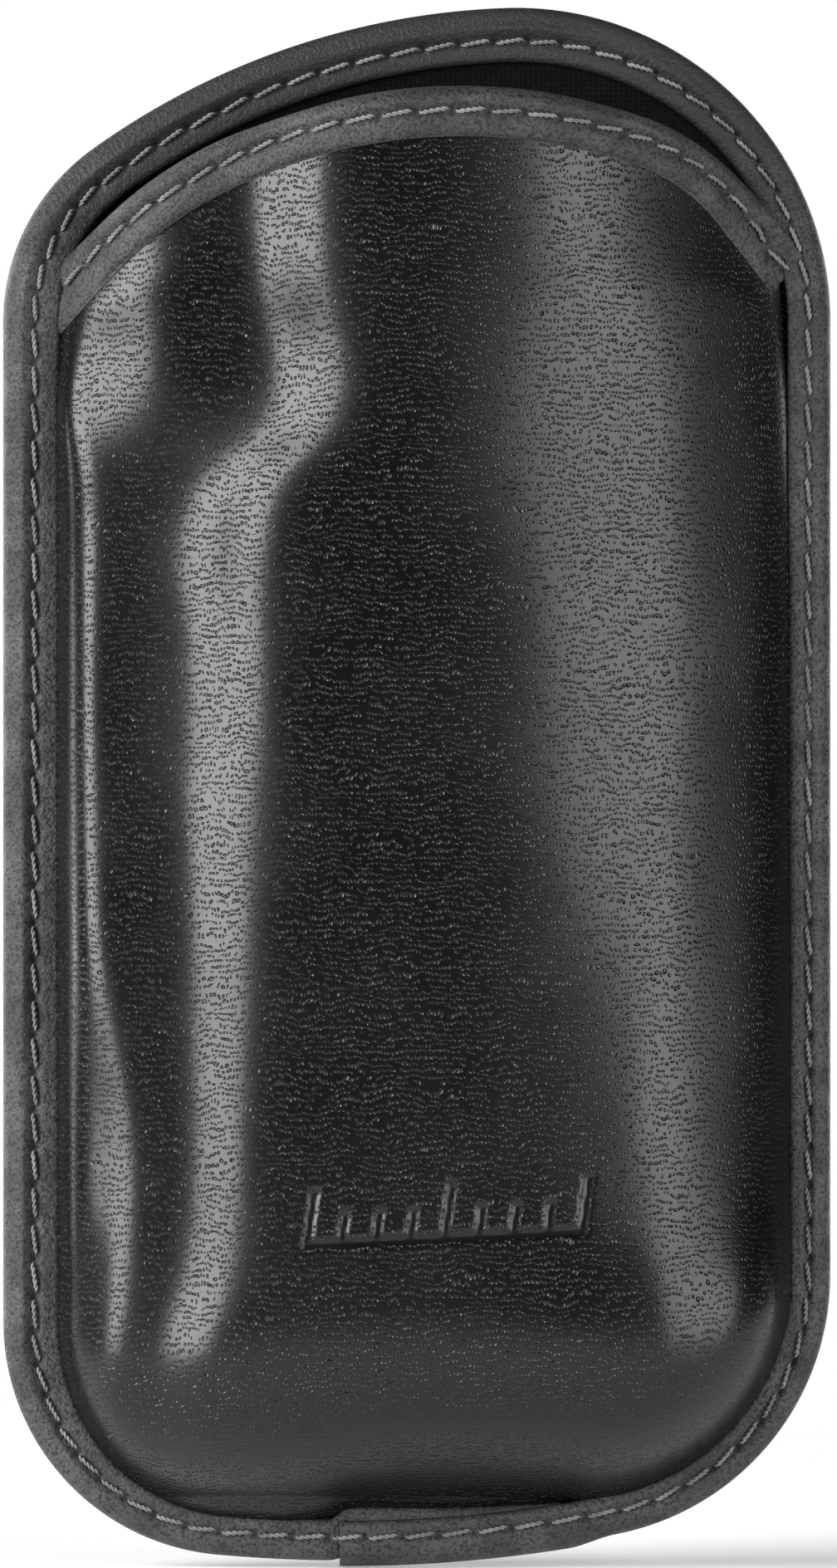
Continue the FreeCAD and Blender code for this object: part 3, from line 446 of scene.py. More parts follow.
# -------- materials
class Nodes:
    """A short way to write a material's nodes."""

    def __init__(self, name):
        self.material = bpy.data.materials.new(name)
        self.material.use_nodes = True
        self.tree = self.material.node_tree
        self.tree.nodes.clear()
        self.shader = self.add("ShaderNodeBsdfPrincipled")
        self.add("ShaderNodeOutputMaterial", Surface=self.shader.outputs["BSDF"])
        self.place = self.add("ShaderNodeTexCoord").outputs["Object"]

    def put(self, socket, value):
        """Link an output to a socket, or set the socket to a plain value."""
        if isinstance(value, bpy.types.NodeSocket):
            self.tree.links.new(value, socket)
        else:
            socket.default_value = value

    def fill(self, node, inputs):
        """Link or set a node's inputs by their names."""
        for key, value in inputs.items():
            self.put(node.inputs[key.replace("_", " ")], value)
        return node

    def add(self, kind, **inputs):
        """A new node with its inputs."""
        return self.fill(self.tree.nodes.new(kind), inputs)

    def done(self, **inputs):
        """The finished material, with its shader's inputs."""
        self.fill(self.shader, inputs)
        return self.material

    def math(self, how, *values):
        """The result of a sum on one to three numbers."""
        node = self.add("ShaderNodeMath")
        node.operation = how
        for socket, value in zip(node.inputs, values):
            self.put(socket, value)
        return node.outputs[0]

    def stretched(self, scale):
        """The place, scaled by a different amount along each axis."""
        return self.add("ShaderNodeMapping", Vector=self.place, Scale=scale).outputs[0]

    def noise(self, place, scale, detail=2.0, rough=0.5):
        """A soft noise from 0 to 1."""
        node = self.add("ShaderNodeTexNoise", Vector=place, Scale=scale, Detail=detail, Roughness=rough)
        return node.outputs["Fac"]

    def ramp(self, value, low, high, to_low=0.0, to_high=1.0):
        """A soft step from one number to another as a value goes from low to high."""
        node = self.add("ShaderNodeMapRange", Value=value, From_Min=low, From_Max=high)
        node.interpolation_type = "SMOOTHSTEP"
        return self.fill(node, {"To Min": to_low, "To Max": to_high}).outputs[0]

    def mix(self, share, a, b):
        """A blend of two colours."""
        node = self.add("ShaderNodeMix")
        node.data_type = "RGBA"
        for number, value in ((0, share), (6, a), (7, b)):
            self.put(node.inputs[number], value)
        return node.outputs[2]

    def warped(self, place, by, scale):
        """The place moved about by a soft noise."""
        noise = self.add("ShaderNodeTexNoise", Vector=place, Scale=scale, Detail=1.0, Roughness=0.5)
        shift = self.add("ShaderNodeVectorMath")
        shift.operation = "MULTIPLY_ADD"
        for socket, value in zip(shift.inputs, (noise.outputs["Color"], (by, by, by), place)):
            self.put(socket, value)
        return shift.outputs[0]

    def bump(self, height, depth):
        """Normals of a surface with small heights on it."""
        return self.add("ShaderNodeBump", Height=height, Distance=depth, Strength=1.0).outputs[0]


def grey(value):
    """A plain grey of a given brightness."""
    return (value, value, value, 1.0)


GRAIN_ROW = 0.78         # mm between rows of worms
GRAIN_BEAD = 0.5         # mm along a row for each bead
GRAIN_SHIFT = 0.37       # each row starts this share of a bead further along


def grain_worms(n):
    """1 on each small raised worm of the grain, 0 between: beads of random length in wavy rows."""
    flat = n.add("ShaderNodeUVMap")
    flat.uv_map = "grain"
    place = n.warped(flat.outputs[0], 2.4, 0.22)
    place = n.warped(place, 0.55, 1.2)
    split = n.add("ShaderNodeSeparateXYZ", Vector=place)
    row = n.math("DIVIDE", split.outputs[1], GRAIN_ROW)
    number = n.math("FLOOR", row)
    bead = n.math("MULTIPLY_ADD", number, GRAIN_SHIFT, n.math("DIVIDE", split.outputs[0], GRAIN_BEAD))
    bead_number = n.math("FLOOR", bead)

    # three random numbers for each bead: up or down, how long, and whether it is there
    pair = n.add("ShaderNodeCombineXYZ", X=bead_number, Y=number)
    dice = n.add("ShaderNodeTexWhiteNoise", Vector=pair.outputs[0])
    dice.noise_dimensions = "2D"
    throw = n.add("ShaderNodeSeparateXYZ", Vector=dice.outputs["Color"]).outputs
    up = n.math("SUBTRACT", n.math("SUBTRACT", row, number), 0.5)
    shifted = n.math("MULTIPLY_ADD", n.math("SUBTRACT", throw[0], 0.5), 0.42, up)
    up = n.math("MULTIPLY", shifted, GRAIN_ROW)
    across = n.math("SUBTRACT", n.math("SUBTRACT", bead, bead_number), 0.5)
    across = n.math("MULTIPLY", across, GRAIN_BEAD)
    loose = n.math("MULTIPLY_ADD", throw[1], 1.9, 0.25)
    far = n.math("MULTIPLY_ADD", n.math("MULTIPLY", across, across), loose, n.math("MULTIPLY", up, up))
    worm = n.ramp(n.math("SQRT", far), 0.215, 0.05)
    return n.math("MULTIPLY", worm, n.ramp(throw[2], 0.08, 0.30, 0.0, 1.0))


def panel_leather():
    """Glossy black grained leatherette: small raised worms in wavy level rows on a smooth ground."""
    n = Nodes("panel_leather")
    worm = grain_worms(n)

    # the pressed mark has no grain
    mark = n.add("ShaderNodeAttribute")
    mark.attribute_name = "pressed"
    worm = n.math("MULTIPLY", worm, n.math("SUBTRACT", 1.0, mark.outputs["Fac"]))

    # the grain is drawn flat near the foot and on the right slope
    body = n.add("ShaderNodeSeparateXYZ", Vector=n.place)
    low = n.ramp(body.outputs[2], -0.108, -0.088, 0.6, 1.0)
    side = n.ramp(body.outputs[0], 0.030, 0.041, 1.0, 0.35)
    worm = n.math("MULTIPLY", worm, n.math("MULTIPLY", low, side))
    soft = n.noise(n.stretched((90.0, 90.0, 320.0)), 1.0, 3.0)
    normal = n.bump(n.math("MULTIPLY_ADD", soft, 0.25, worm), 0.00013)
    rough = n.ramp(n.noise(n.place, 60.0, 3.0), 0.3, 0.7, 0.25, 0.31)
    tone = n.mix(worm, grey(0.003), grey(0.006))
    return n.done(Base_Color=tone, Normal=normal, Roughness=rough, IOR=1.5, Specular_IOR_Level=0.5)


def tape_leather():
    """Matt dark grey leather tape with fine dark pores, and painted shade on the back's arch."""
    n = Nodes("tape_leather")
    nap = n.noise(n.place, 2300.0, 2.0, 0.7)
    pore = n.ramp(nap, 0.34, 0.56)
    cloud = n.noise(n.place, 210.0, 4.0, 0.6)
    tone = n.mix(n.ramp(cloud, 0.3, 0.7), grey(0.040), grey(0.078))
    tone = n.mix(pore, grey(0.012), tone)

    # painted shade: the tape of the back's arch, above the mouth, is darkened to stand in for the shade
    # there
    place = n.add("ShaderNodeSeparateXYZ", Vector=n.place)
    high = n.ramp(place.outputs[2], 0.036, 0.052)
    painted_shade_flap = n.math("MULTIPLY", high, n.ramp(place.outputs[1], -0.011, -0.008))
    tone = n.mix(painted_shade_flap, tone, grey(0.024))
    normal = n.bump(n.math("ADD", n.math("MULTIPLY", nap, 1.5), cloud), 0.00016)
    rough = n.ramp(cloud, 0.3, 0.7, 0.60, 0.46)
    return n.done(Base_Color=tone, Normal=normal, Roughness=rough, IOR=1.45)


def lining_cloth():
    """Close black cloth with a fine plain weave."""
    n = Nodes("lining_cloth")
    across, along = (n.add("ShaderNodeTexWave", Vector=n.place, Scale=520.0) for _ in range(2))
    along.bands_direction = "Z"
    weave = n.math("MULTIPLY", across.outputs["Fac"], along.outputs["Fac"])
    fuzz = n.noise(n.place, 1400.0, 3.0)
    normal = n.bump(n.math("ADD", weave, fuzz), 0.00012)
    tone = n.mix(n.ramp(fuzz, 0.35, 0.7), grey(0.001), grey(0.003))
    return n.done(Base_Color=tone, Normal=normal, Roughness=0.95, Specular_IOR_Level=0.15)


def foam_material():
    """Soft grey foam with small open cells."""
    n = Nodes("foam")
    cells = n.add("ShaderNodeTexVoronoi", Vector=n.place, Scale=1800.0).outputs["Distance"]
    tone = n.mix(n.ramp(cells, 0.1, 0.5), grey(0.02), grey(0.06))
    return n.done(Base_Color=tone, Normal=n.bump(cells, 0.0002), Roughness=0.95)


def thread_material():
    """Light grey twisted thread with fine fibres."""
    n = Nodes("thread")
    fibre = n.noise(n.place, 5200.0)
    tone = n.mix(n.ramp(n.noise(n.place, 240.0), 0.35, 0.7), grey(0.16), grey(0.27))
    return n.done(Base_Color=tone, Normal=n.bump(fibre, 0.00005), Roughness=0.5)


PANEL = panel_leather()
TAPE_LEATHER = tape_leather()
LINING = lining_cloth()
FOAM = foam_material()
THREAD = thread_material()


# -------- front panel, foam and lining
def foot_line(inset, count):
    """The outline's foot moved inwards, from the middle of one corner to the middle of the other."""
    start = OUTLINE.middle_of(LEFT_FOOT) - OUTLINE.total
    return even(OUTLINE.inside(start, OUTLINE.middle_of(RIGHT_FOOT), inset, 600), count)


def side_line(inset, top, side, count):
    """The outline's side moved inwards, from the middle of the foot's corner up to a height."""
    if side < 0:
        start, end = OUTLINE.middle_of(LEFT_FOOT), OUTLINE.total - OUTLINE.lengths[LEFT_FOOT] + 0.01
    else:
        start, end = OUTLINE.middle_of(RIGHT_FOOT), sum(OUTLINE.lengths[:2]) - 0.01
    line = OUTLINE.inside(start, end, inset, 120)
    return even(np.concatenate([line, [top]]), count)


def front_grid(inset, mouth_inset, cols, rows):
    """A grid of places over the front, out to an inset from the outline and the mouth."""
    top = mouth_line(cols, mouth_inset)
    keep = np.abs(top[:, 0]) < HALF - inset
    top = even(top[keep], cols)
    bottom = foot_line(inset, cols)
    left = side_line(inset, top[0], -1, rows)
    right = side_line(inset, top[-1], 1, rows)
    return coons(bottom, top, left, right)


def mark_depth(x, z):
    """The pressed mark low on the front: a level line with leaning ticks, like a meter's scale."""
    a = math.radians(3.0)
    u = (x - 3.8) * math.cos(a) + (z + 78.8) * math.sin(a)
    v = (z + 78.8) * math.cos(a) - (x - 3.8) * math.sin(a)
    lean = u - 0.2 * v
    depth = np.zeros_like(x)
    for number in range(9):
        middle = (number - 4) * 4.1
        high = 6.6 if number % 4 == 0 else 3.8
        wide = smooth((0.72 - np.abs(lean - middle)) / 0.3)
        tall = smooth((v + 3.4) / 0.4) * smooth((high - 3.4 - v) / 0.4)
        depth = np.maximum(depth, wide * tall)
    base = smooth((17.2 - np.abs(lean)) / 0.4) * smooth((0.7 - np.abs(v + 3.6)) / 0.3)
    return np.maximum(depth, base)


def front_places(inset, mouth_inset, cols, rows):
    """A grid of points on the front's outer face: their x, their z, the points and their normals."""
    points = on_front(front_grid(inset, mouth_inset, cols, rows))
    return points[..., 0], points[..., 2], points, grid_normals(points)


def make_front():
    """The panel with its pressed mark, and the foam and lining behind it."""
    x, z, skin, normal = front_places(1.2, 0.95, 300, 520)
    inner = skin - normal * 1.0
    outer = skin - normal * (0.36 * mark_depth(x, z))[..., None]
    verts, faces = slab(outer, inner)
    panel = make_piece("front_panel_skin", to_metres(verts), faces, PANEL, flat_places(skin))
    pressed = panel.data.attributes.new("pressed", "FLOAT", "POINT")
    depth = mark_depth(x, z).ravel()
    pressed.data.foreach_set("value", np.concatenate([depth, 0.0 * depth]).astype(np.float32))
    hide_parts("front_panel")

    x, z, skin, normal = front_places(9.0, 1.2, 90, 160)
    verts, faces = slab(skin - normal * 1.06, skin - normal * 3.0)
    foam = make_piece("front_foam_sheet", to_metres(verts), faces, FOAM)
    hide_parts("front_foam")

    x, z, skin, normal = front_places(1.2, 0.95, 110, 190)
    inset, _ = trough_inset(x, z)
    thick = 1.05 + 2.05 * smooth((inset - 7.5) / 5.0)
    outer = skin - normal * thick[..., None]
    verts, faces = slab(outer, outer - normal * 0.5)
    lining = make_piece("front_lining_cloth", to_metres(verts), faces, LINING)
    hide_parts("front_lining")


# -------- back panel and lining
def back_grid(inset, cols, rows):
    """A grid of places over the whole back."""
    right_top, left_top = OUTLINE.middle_of(RIGHT_TOP), OUTLINE.middle_of(LEFT_TOP)

    def line(start, end, count):
        return even(OUTLINE.inside(start, end, inset, 800), count)

    right = line(OUTLINE.middle_of(RIGHT_FOOT), right_top, rows)
    top = line(right_top, left_top, cols)[::-1]
    left = line(left_top, OUTLINE.middle_of(LEFT_FOOT), rows)[::-1]
    bottom = line(OUTLINE.middle_of(LEFT_FOOT) - OUTLINE.total, OUTLINE.middle_of(RIGHT_FOOT), cols)
    return coons(bottom, top, left, right)


def outline_inset(x, z):
    """Distance in from the whole outline."""
    inset, _ = trough_inset(x, z)
    for _, centre, radius, start, end in OUTLINE.parts[RIGHT_TOP:LEFT_TOP + 1]:
        angle = np.arctan2(z - centre[1], x - centre[0])
        here = (angle >= start) & (angle <= end)
        inset = np.where(here, np.minimum(inset, radius - np.hypot(x - centre[0], z - centre[1])), inset)
    return inset


def make_back():
    """The back's outer skin, and the lining that shows in the mouth; both swell over the foam."""
    places = back_grid(1.2, 130, 220)
    x, z = places[..., 0], places[..., 1]
    deep = outline_inset(x, z)
    pillow = 0.7 * smooth((deep - 5.5) / 9.0)
    outer = np.stack([x, BACK_FACE - pillow, z], -1)
    inner = np.stack([x, BACK_FACE + 1.0 - pillow, z], -1)
    verts, faces = slab(inner, outer)
    panel = make_piece("back_panel_skin", to_metres(verts), faces, PANEL, flat_places(outer))
    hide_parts("back_panel")

    rise = 2.0 * smooth((deep - 9.5) / 7.0)
    soft = 0.25 * np.sin(x * 0.11 + z * 0.05) * smooth((deep - 12) / 12.0)
    outer = np.stack([x, 4.6 + rise + soft, z], -1)
    inner = np.stack([x, 4.1 + rise + soft, z], -1)
    verts, faces = slab(outer, inner)
    lining = make_piece("back_lining_cloth", to_metres(verts), faces, LINING)
    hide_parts("back_lining")


# -------- the two bindings
EDGE_START = OUTLINE.sole_place(CUT_END_X)
EDGE_TAIL = OUTLINE.sole_place(TAIL_END_X)
STITCH_COUNT = int(round(OUTLINE.total / PITCH))
EDGE_PITCH = OUTLINE.total / STITCH_COUNT


def binding_front(point):
    """How far ahead the front of the edge binding is at a place on the outline."""
    x, z = point[..., 0], point[..., 1]
    level = BINDING_FRONT + (BINDING_TOP_FRONT - BINDING_FRONT) * smooth((z - 33.0) / 14.0)
    # the tape is lifted a little where the mouth's tape ends under it
    lift = hump((z - 30.0) / 9.0) * smooth((np.abs(x) - 40.0) / 5.0)
    return level + 1.3 * lift


def off_outline(point, out, inset, ahead):
    """Places at an inset from points on the outline, and at a distance ahead."""
    place = point - out * inset[..., None]
    return np.stack([place[..., 0], ahead, place[..., 1]], -1)


def lap_lift(run):
    """How far the tape is lifted where it lies on its own tail; run is the distance from its start."""
    return 0.95 * (1.0 - smooth((run - (EDGE_TAIL - EDGE_START) + 1.0) / 6.0))


def tape_profile(width, back, front, count):
    """Outer line of a folded tape: inset and ahead, from the back's inner edge round to the front's."""
    half = (front - back)[..., None] / 2
    middle = (front + back)[..., None] / 2
    rim = 2.3
    leg = count // 3
    t = np.linspace(0, 1, leg)
    a = np.linspace(-PI / 2, PI / 2, count - 2 * leg + 2)[1:-1]
    flat = width[..., None]
    back_inset = flat + (rim - flat) * t
    rim_inset = rim - rim * np.cos(a) + 0.0 * flat
    front_inset = rim + (flat - rim) * t
    inset = np.concatenate([back_inset, rim_inset, front_inset], -1)
    ahead = middle + half * np.concatenate([-np.ones(leg), np.sin(a), np.ones(leg)])

    # the folded edges of both legs are rounded down on to what they lie on
    drop = 0.8 * round_drop(1.0 - (flat - inset) / 0.9)
    ahead = np.where(ahead > middle, ahead - drop, ahead + drop)
    return inset, ahead


def make_edge_binding():
    """A tape folded over the whole edge, whose first stretch laps over its tail at the sole."""
    length = OUTLINE.total + EDGE_TAIL - EDGE_START
    rows = int(length / 0.36)
    s = EDGE_START + np.linspace(0.0, length, rows)
    point, out = OUTLINE.at(s)
    run = s - EDGE_START
    left = length - run

    # the first stretch lies on top of the tape's own tail
    raised = lap_lift(run)
    under = smooth((EDGE_TAIL - EDGE_START + 1.5 - left) / 3.0)
    width = tape_width(out)
    width = width + under * (tail_extra(point[:, 0]) - 1.6 * smooth((1.5 - left) / 3.0))
    front = binding_front(point) + raised
    back = np.full(rows, BINDING_BACK)
    flat_inset, plain_ahead = tape_profile(width, back, front, 84)
    plain_inset = flat_inset - 0.7 * raised[:, None] * np.clip(1.0 - flat_inset / 6.0, 0.0, 1.0)
    inset = plain_inset + under[:, None] * 0.5 * np.clip(1.0 - plain_inset / 3.0, 0.0, 1.0)

    # a soft roll between rim and seam, the sunk seam and its needle holes
    seam = stitch_inset(out)[:, None]
    is_front = plain_ahead > (BINDING_BACK + front)[:, None] / 2
    side = np.where(is_front, 1.0, -1.0)
    flat_part = smooth((inset - 1.2) / 1.4)
    wave = 0.12 * np.sin(run * 0.31) + 0.1 * np.sin(run * 0.173 + 1.0)
    roll = (0.30 + wave[:, None]) * hump((inset - seam * 0.5) / 1.3) * flat_part
    groove = 0.34 * hump((inset - seam) / 0.75)
    phase = (s / EDGE_PITCH + 0.5) % 1.0 - 0.5
    hole = 0.45 * hump(phase * EDGE_PITCH / 0.42)[:, None] * hump((inset - seam) / 0.42)
    ahead = plain_ahead + side * (roll - groove - hole) * flat_part

    outer = off_outline(point[:, None], out[:, None], inset, ahead)

    # the inner side of the tape
    d = unit(np.stack([np.gradient(plain_inset, axis=1), np.gradient(plain_ahead, axis=1)], -1), 1e-9)
    inner_inset = plain_inset + d[..., 1] * TAPE * 0.95
    inner_ahead = plain_ahead - d[..., 0] * TAPE * 0.95
    inner = off_outline(point[:, None], out[:, None], inner_inset, inner_ahead)

    ring = np.concatenate([outer, inner[:, ::-1]], 1)
    cols = ring.shape[1]
    faces = [grid_faces(rows, cols, closed_cols=True)]
    half = cols // 2
    k = np.arange(half - 1)
    for row, flip in ((0, True), (rows - 1, False)):
        cap = np.stack([k, k + 1, cols - 2 - k, cols - 1 - k], -1) + row * cols
        faces.append(cap[:, ::-1] if flip else cap)
    piece = make_piece("edge_binding_tape", to_metres(ring), np.concatenate(faces), TAPE_LEATHER)
    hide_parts("edge_binding")


def surface_strip(line, reach, count):
    """Rows of points on the front's surface, from a line on it to a distance below it."""
    along = unit(np.gradient(line, axis=0))
    down = np.stack([along[:, 1], -along[:, 0]], -1)
    far = np.linspace(0.0, reach, count)
    return on_front(line[:, None] + down[:, None] * far[None, :, None])


def blur_rows(values, times):
    """Soften changes from row to row."""
    for _ in range(times):
        middle = (values[:-2] + 2 * values[1:-1] + values[2:]) / 4
        values = np.concatenate([values[:1], middle, values[-1:]])
    return values


MOUTH_WIDTH = 6.1
MOUTH_SEAM = 2.95
MOUTH_PITCH = 4.4
MOUTH_COLS = 32


def mouth_strip():
    """Points on the front under the mouth's tape, the ways out of it there, and the tape's line."""
    line = mouth_line(900, 0.0)
    line = even(line[np.abs(line[:, 0]) < HALF - 2.5], 700)
    strip = surface_strip(line, MOUTH_WIDTH, MOUTH_COLS)
    ends = smooth((np.abs(strip[..., 0]) - 37.0) / 6.0)
    strip[..., 1] = np.maximum(strip[..., 1], FLANGE + ends)
    strip = blur_rows(strip, 14)
    return strip, grid_normals(strip), line


def make_mouth_binding():
    """A tape folded over the front's arched edge; what it returns is where its stitches go."""
    strip, out, line = mouth_strip()
    rows = len(strip)
    arc_far = lengths_along(strip[:, 6])
    count = int(round(arc_far[-1] / MOUTH_PITCH))
    pitch = arc_far[-1] / count
    phase = (arc_far / pitch + 0.5) % 1.0 - 0.5

    # both ends are pressed thin under the edge's tape
    pressed = smooth((np.abs(line[:, 0]) - 39.0) / 6.0)[:, None]
    stack = STACK - 2.0 * pressed
    tape = TAPE - 0.45 * pressed

    # the rounded lower edge, and the round fold over the front's own edge
    dist = np.linspace(0, 1, MOUTH_COLS)[None, :] * MOUTH_WIDTH
    drop = 0.85 * round_drop(1.0 - (MOUTH_WIDTH - dist) / 0.9)
    rim = 1.9
    fall = (stack / 2 + tape) * round_drop(1.0 - dist / rim)

    # soft rolls above and below the sunk seam, and its needle holes
    wave = 0.10 * np.sin(arc_far * 0.37) + 0.08 * np.sin(arc_far * 0.21 + 2.0)
    roll = (0.16 + wave[:, None]) * hump((dist - 1.6) / 1.0) + 0.10 * hump((dist - 4.5) / 0.8)
    sunk = 0.32 * hump((dist - MOUTH_SEAM) / 0.7)
    sunk = sunk + 0.42 * hump(phase * pitch / 0.42)[:, None] * hump((dist - MOUTH_SEAM) / 0.42)

    height = tape - (drop + fall) * tape / TAPE + (roll - sunk) * (1 - 0.6 * pressed)
    height = np.where(dist < rim, np.maximum(height, tape - fall), height)
    front = strip + out * height[..., None]
    back_height = (drop + fall) * (1 - 0.6 * pressed) + 0.5 * sunk * (1 - pressed) - (stack + tape)
    back = strip + out * back_height[..., None]
    inner_height = TAPE * 0.08 - np.where(fall > 0.3, fall * 0.7, 0.0)
    inner_front = strip + out * inner_height[..., None]
    inner_back = strip - out * (stack - 0.05 - np.minimum(fall, stack / 2 - 0.1))[..., None]

    # the inner side starts a little below the fold
    start = 4
    ring = np.concatenate([
        back[:, ::-1], front[:, 1:], inner_front[:, :start - 1:-1], inner_back[:, start:]
    ], 1)
    cols = ring.shape[1]
    faces = [tuple(f) for f in grid_faces(rows, cols, closed_cols=True)]
    faces.append(tuple(range(cols - 1, -1, -1)))
    faces.append(tuple(range((rows - 1) * cols, rows * cols)))
    piece = make_piece("mouth_binding_tape", to_metres(ring), faces, TAPE_LEATHER)
    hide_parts("mouth_binding")
    return strip, out, arc_far, pitch, count


# -------- stitches
STRAND_RADIUS = 0.165
STRAND_APART = 0.13      # from the stitch's middle line to each strand's
STRAND_TURNS = 2.4
STRAND_SIDES = 8


def twisted_stitch(path, out):
    """Two strands of thread twisted round each other along a short path."""
    n = len(path)
    along = unit(np.gradient(path, axis=0))
    side = unit(np.cross(along, out))
    up = np.cross(side, along)
    verts, faces = [], []
    t = np.linspace(0, 1, n)
    pinch = 0.45 + 0.55 * np.clip(np.minimum(t, 1 - t) / 0.08, 0, 1) ** 0.5
    for strand in (0.0, PI):
        a = t * STRAND_TURNS * 2 * PI + strand
        middle = path + (side * np.cos(a)[:, None] + up * np.sin(a)[:, None]) * STRAND_APART
        b = np.linspace(0, 2 * PI, STRAND_SIDES, endpoint=False)
        ring = middle[:, None] + STRAND_RADIUS * pinch[:, None, None] * (
            side[:, None] * np.cos(b)[None, :, None] + up[:, None] * np.sin(b)[None, :, None]
        )
        start = sum(len(v) for v in verts)
        verts.append(ring.reshape(-1, 3))
        faces += [tuple(f) for f in grid_faces(n, STRAND_SIDES, closed_cols=True, start=start)]
        faces.append(tuple(range(start + STRAND_SIDES - 1, start - 1, -1)))
        last = start + (n - 1) * STRAND_SIDES
        faces.append(tuple(range(last, last + STRAND_SIDES)))
    return np.concatenate(verts), faces


def stitch_row(name, node, stitches):
    """One piece from many stitches; each is its middle line and the way out of the surface."""
    verts, faces, start = [], [], 0
    for path, out in stitches:
        v, f = twisted_stitch(path, out)
        verts.append(v)
        faces += [tuple(i + start for i in face) for face in f]
        start += len(v)
    piece = make_piece(name, to_metres(np.concatenate(verts)), faces, THREAD)
    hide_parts(node)


STITCH_POINTS = 17
HOLE_GAP = 0.5           # mm from a stitch's end to the middle between it and the next


def arch(sunk, proud):
    """Height of a stitch along itself: it comes out of one hole and goes down the next."""
    t = np.linspace(-1, 1, STITCH_POINTS)
    return proud - (proud + sunk) * np.abs(t) ** 5


def edge_stitches(front):
    """The stitches round the edge, on its front or its back."""
    stitches = []
    t = np.linspace(-1, 1, STITCH_POINTS)
    wobble = np.random.default_rng(7 if front else 8)
    for number in range(STITCH_COUNT):
        middle = (number + 0.5) * EDGE_PITCH
        s = middle + t * (EDGE_PITCH / 2 - HOLE_GAP)
        point, out = OUTLINE.at(s)
        slant = 0.20 + wobble.normal(0, 0.04)
        inset = stitch_inset(out) + t * slant
        rise = arch(0.40, 0.02 + wobble.normal(0, 0.02))
        if front:
            raised = lap_lift((s - EDGE_START) % OUTLINE.total)
            ahead = binding_front(point) + raised + rise
            way = (0.0, 1.0, 0.0)
        else:
            ahead = BINDING_BACK - rise
            way = (0.0, -1.0, 0.0)
        path = off_outline(point, out, inset, ahead)
        stitches.append((path, np.tile(way, (STITCH_POINTS, 1))))
    return stitches


def mouth_stitches(strip, out, arc_far, pitch, count, front):
    """The stitches along the mouth, on its front or inside; none lies under the edge's tape."""
    stitches = []
    t = np.linspace(-1, 1, STITCH_POINTS)
    wobble = np.random.default_rng(9 if front else 10)
    share = MOUTH_SEAM / MOUTH_WIDTH * (MOUTH_COLS - 1)
    low, part = int(share), share - int(share)
    seam = strip[:, low] * (1 - part) + strip[:, low + 1] * part
    across = unit(strip[:, low + 1] - strip[:, low])
    way = out[:, low]
    for number in range(count):
        s = (number + 0.5) * pitch + t * (pitch / 2 - HOLE_GAP)
        here, up, over = (between(s, arc_far, values) for values in (seam, way, across))
        slant = 0.20 + wobble.normal(0, 0.04)
        rise = arch(0.40, 0.02 + wobble.normal(0, 0.02))
        if front:
            path = here + up * (TAPE + rise)[:, None]
            outward = up
        else:
            path = here - up * (STACK + TAPE - 0.15 + rise)[:, None]
            outward = -up
        path = path - over * (t * slant)[:, None]
        if 7.4 - HALF < here[STITCH_POINTS // 2, 0] < HALF - 5.8:
            stitches.append((path, outward))
    return stitches


# -------- belt loop
LOOP_HALF = 19.0
LOOP_END = 46.0
LOOP_BACKING = 0.8
LOOP_LEATHER = 1.4
LOOP_GAP = 0.05


def loop_side_line(lift, count):
    """The strap's side line, from its lower end to its upper end: distance behind, and height."""
    flat, out = -BACK_FACE + lift, 3.0 + lift
    inner, outer = 8.0 - lift, 5.0 + lift
    top_centre = (out - outer, 24.0)
    tab_centre = (flat + inner, 36.0)
    dy, dz = tab_centre[0] - top_centre[0], tab_centre[1] - top_centre[1]
    angle = math.atan2(dz, dy) - math.acos((outer + inner) / math.hypot(dy, dz))
    over = arc_points(top_centre, outer, 0.0, angle, 16)
    under = arc_points(tab_centre, inner, PI + angle, PI, 16)
    upper = np.concatenate([[[out, 0.0]], over, under, [[flat, LOOP_END]]])
    lower = upper[::-1] * (1, -1)
    return even(np.concatenate([lower[:-1], upper]), count)


def loop_sheet(name, node, lift, thick, half, material):
    """One layer of the belt loop, with rounded edges and softly rounded corners."""
    rows, cols = 150, 48
    side = loop_side_line(lift + thick / 2, rows)
    along = unit(np.gradient(side, axis=0))
    out = np.stack([along[:, 1], -along[:, 0]], -1)
    far = lengths_along(side)
    end = np.minimum(far, far[-1] - far)
    narrow = 3.0 * round_drop(1.0 - end / 3.0)
    u = np.sin(np.linspace(-PI / 2, PI / 2, cols)) * 0.5 + np.linspace(-0.5, 0.5, cols)
    x = u[None, :] * (half - narrow)[:, None]
    to_edge = (half - narrow)[:, None] - np.abs(x)
    round_off = np.sqrt(np.clip(1.0 - np.clip(1.0 - to_edge / (thick * 0.7), 0, 1) ** 2, 0.02, 1))
    seam = 0.22 * hump((to_edge - 2.4) / 0.6) * (thick > 1.0)
    seam = seam + 0.18 * (thick > 1.0) * hump((end[:, None] - 2.6) / 0.6)
    up = (thick / 2) * round_off
    y = side[:, 0][:, None]
    z = side[:, 1][:, None]
    oy, oz = out[:, 0][:, None], out[:, 1][:, None]
    top = np.stack([x, -(y + oy * (up - seam)), z + oz * (up - seam)], -1)
    low = np.stack([x, -(y - oy * up), z - oz * up], -1)
    verts, faces = slab(top, low)
    piece = make_piece(name, to_metres(verts), faces, material, flat_places(top))
    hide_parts(node)


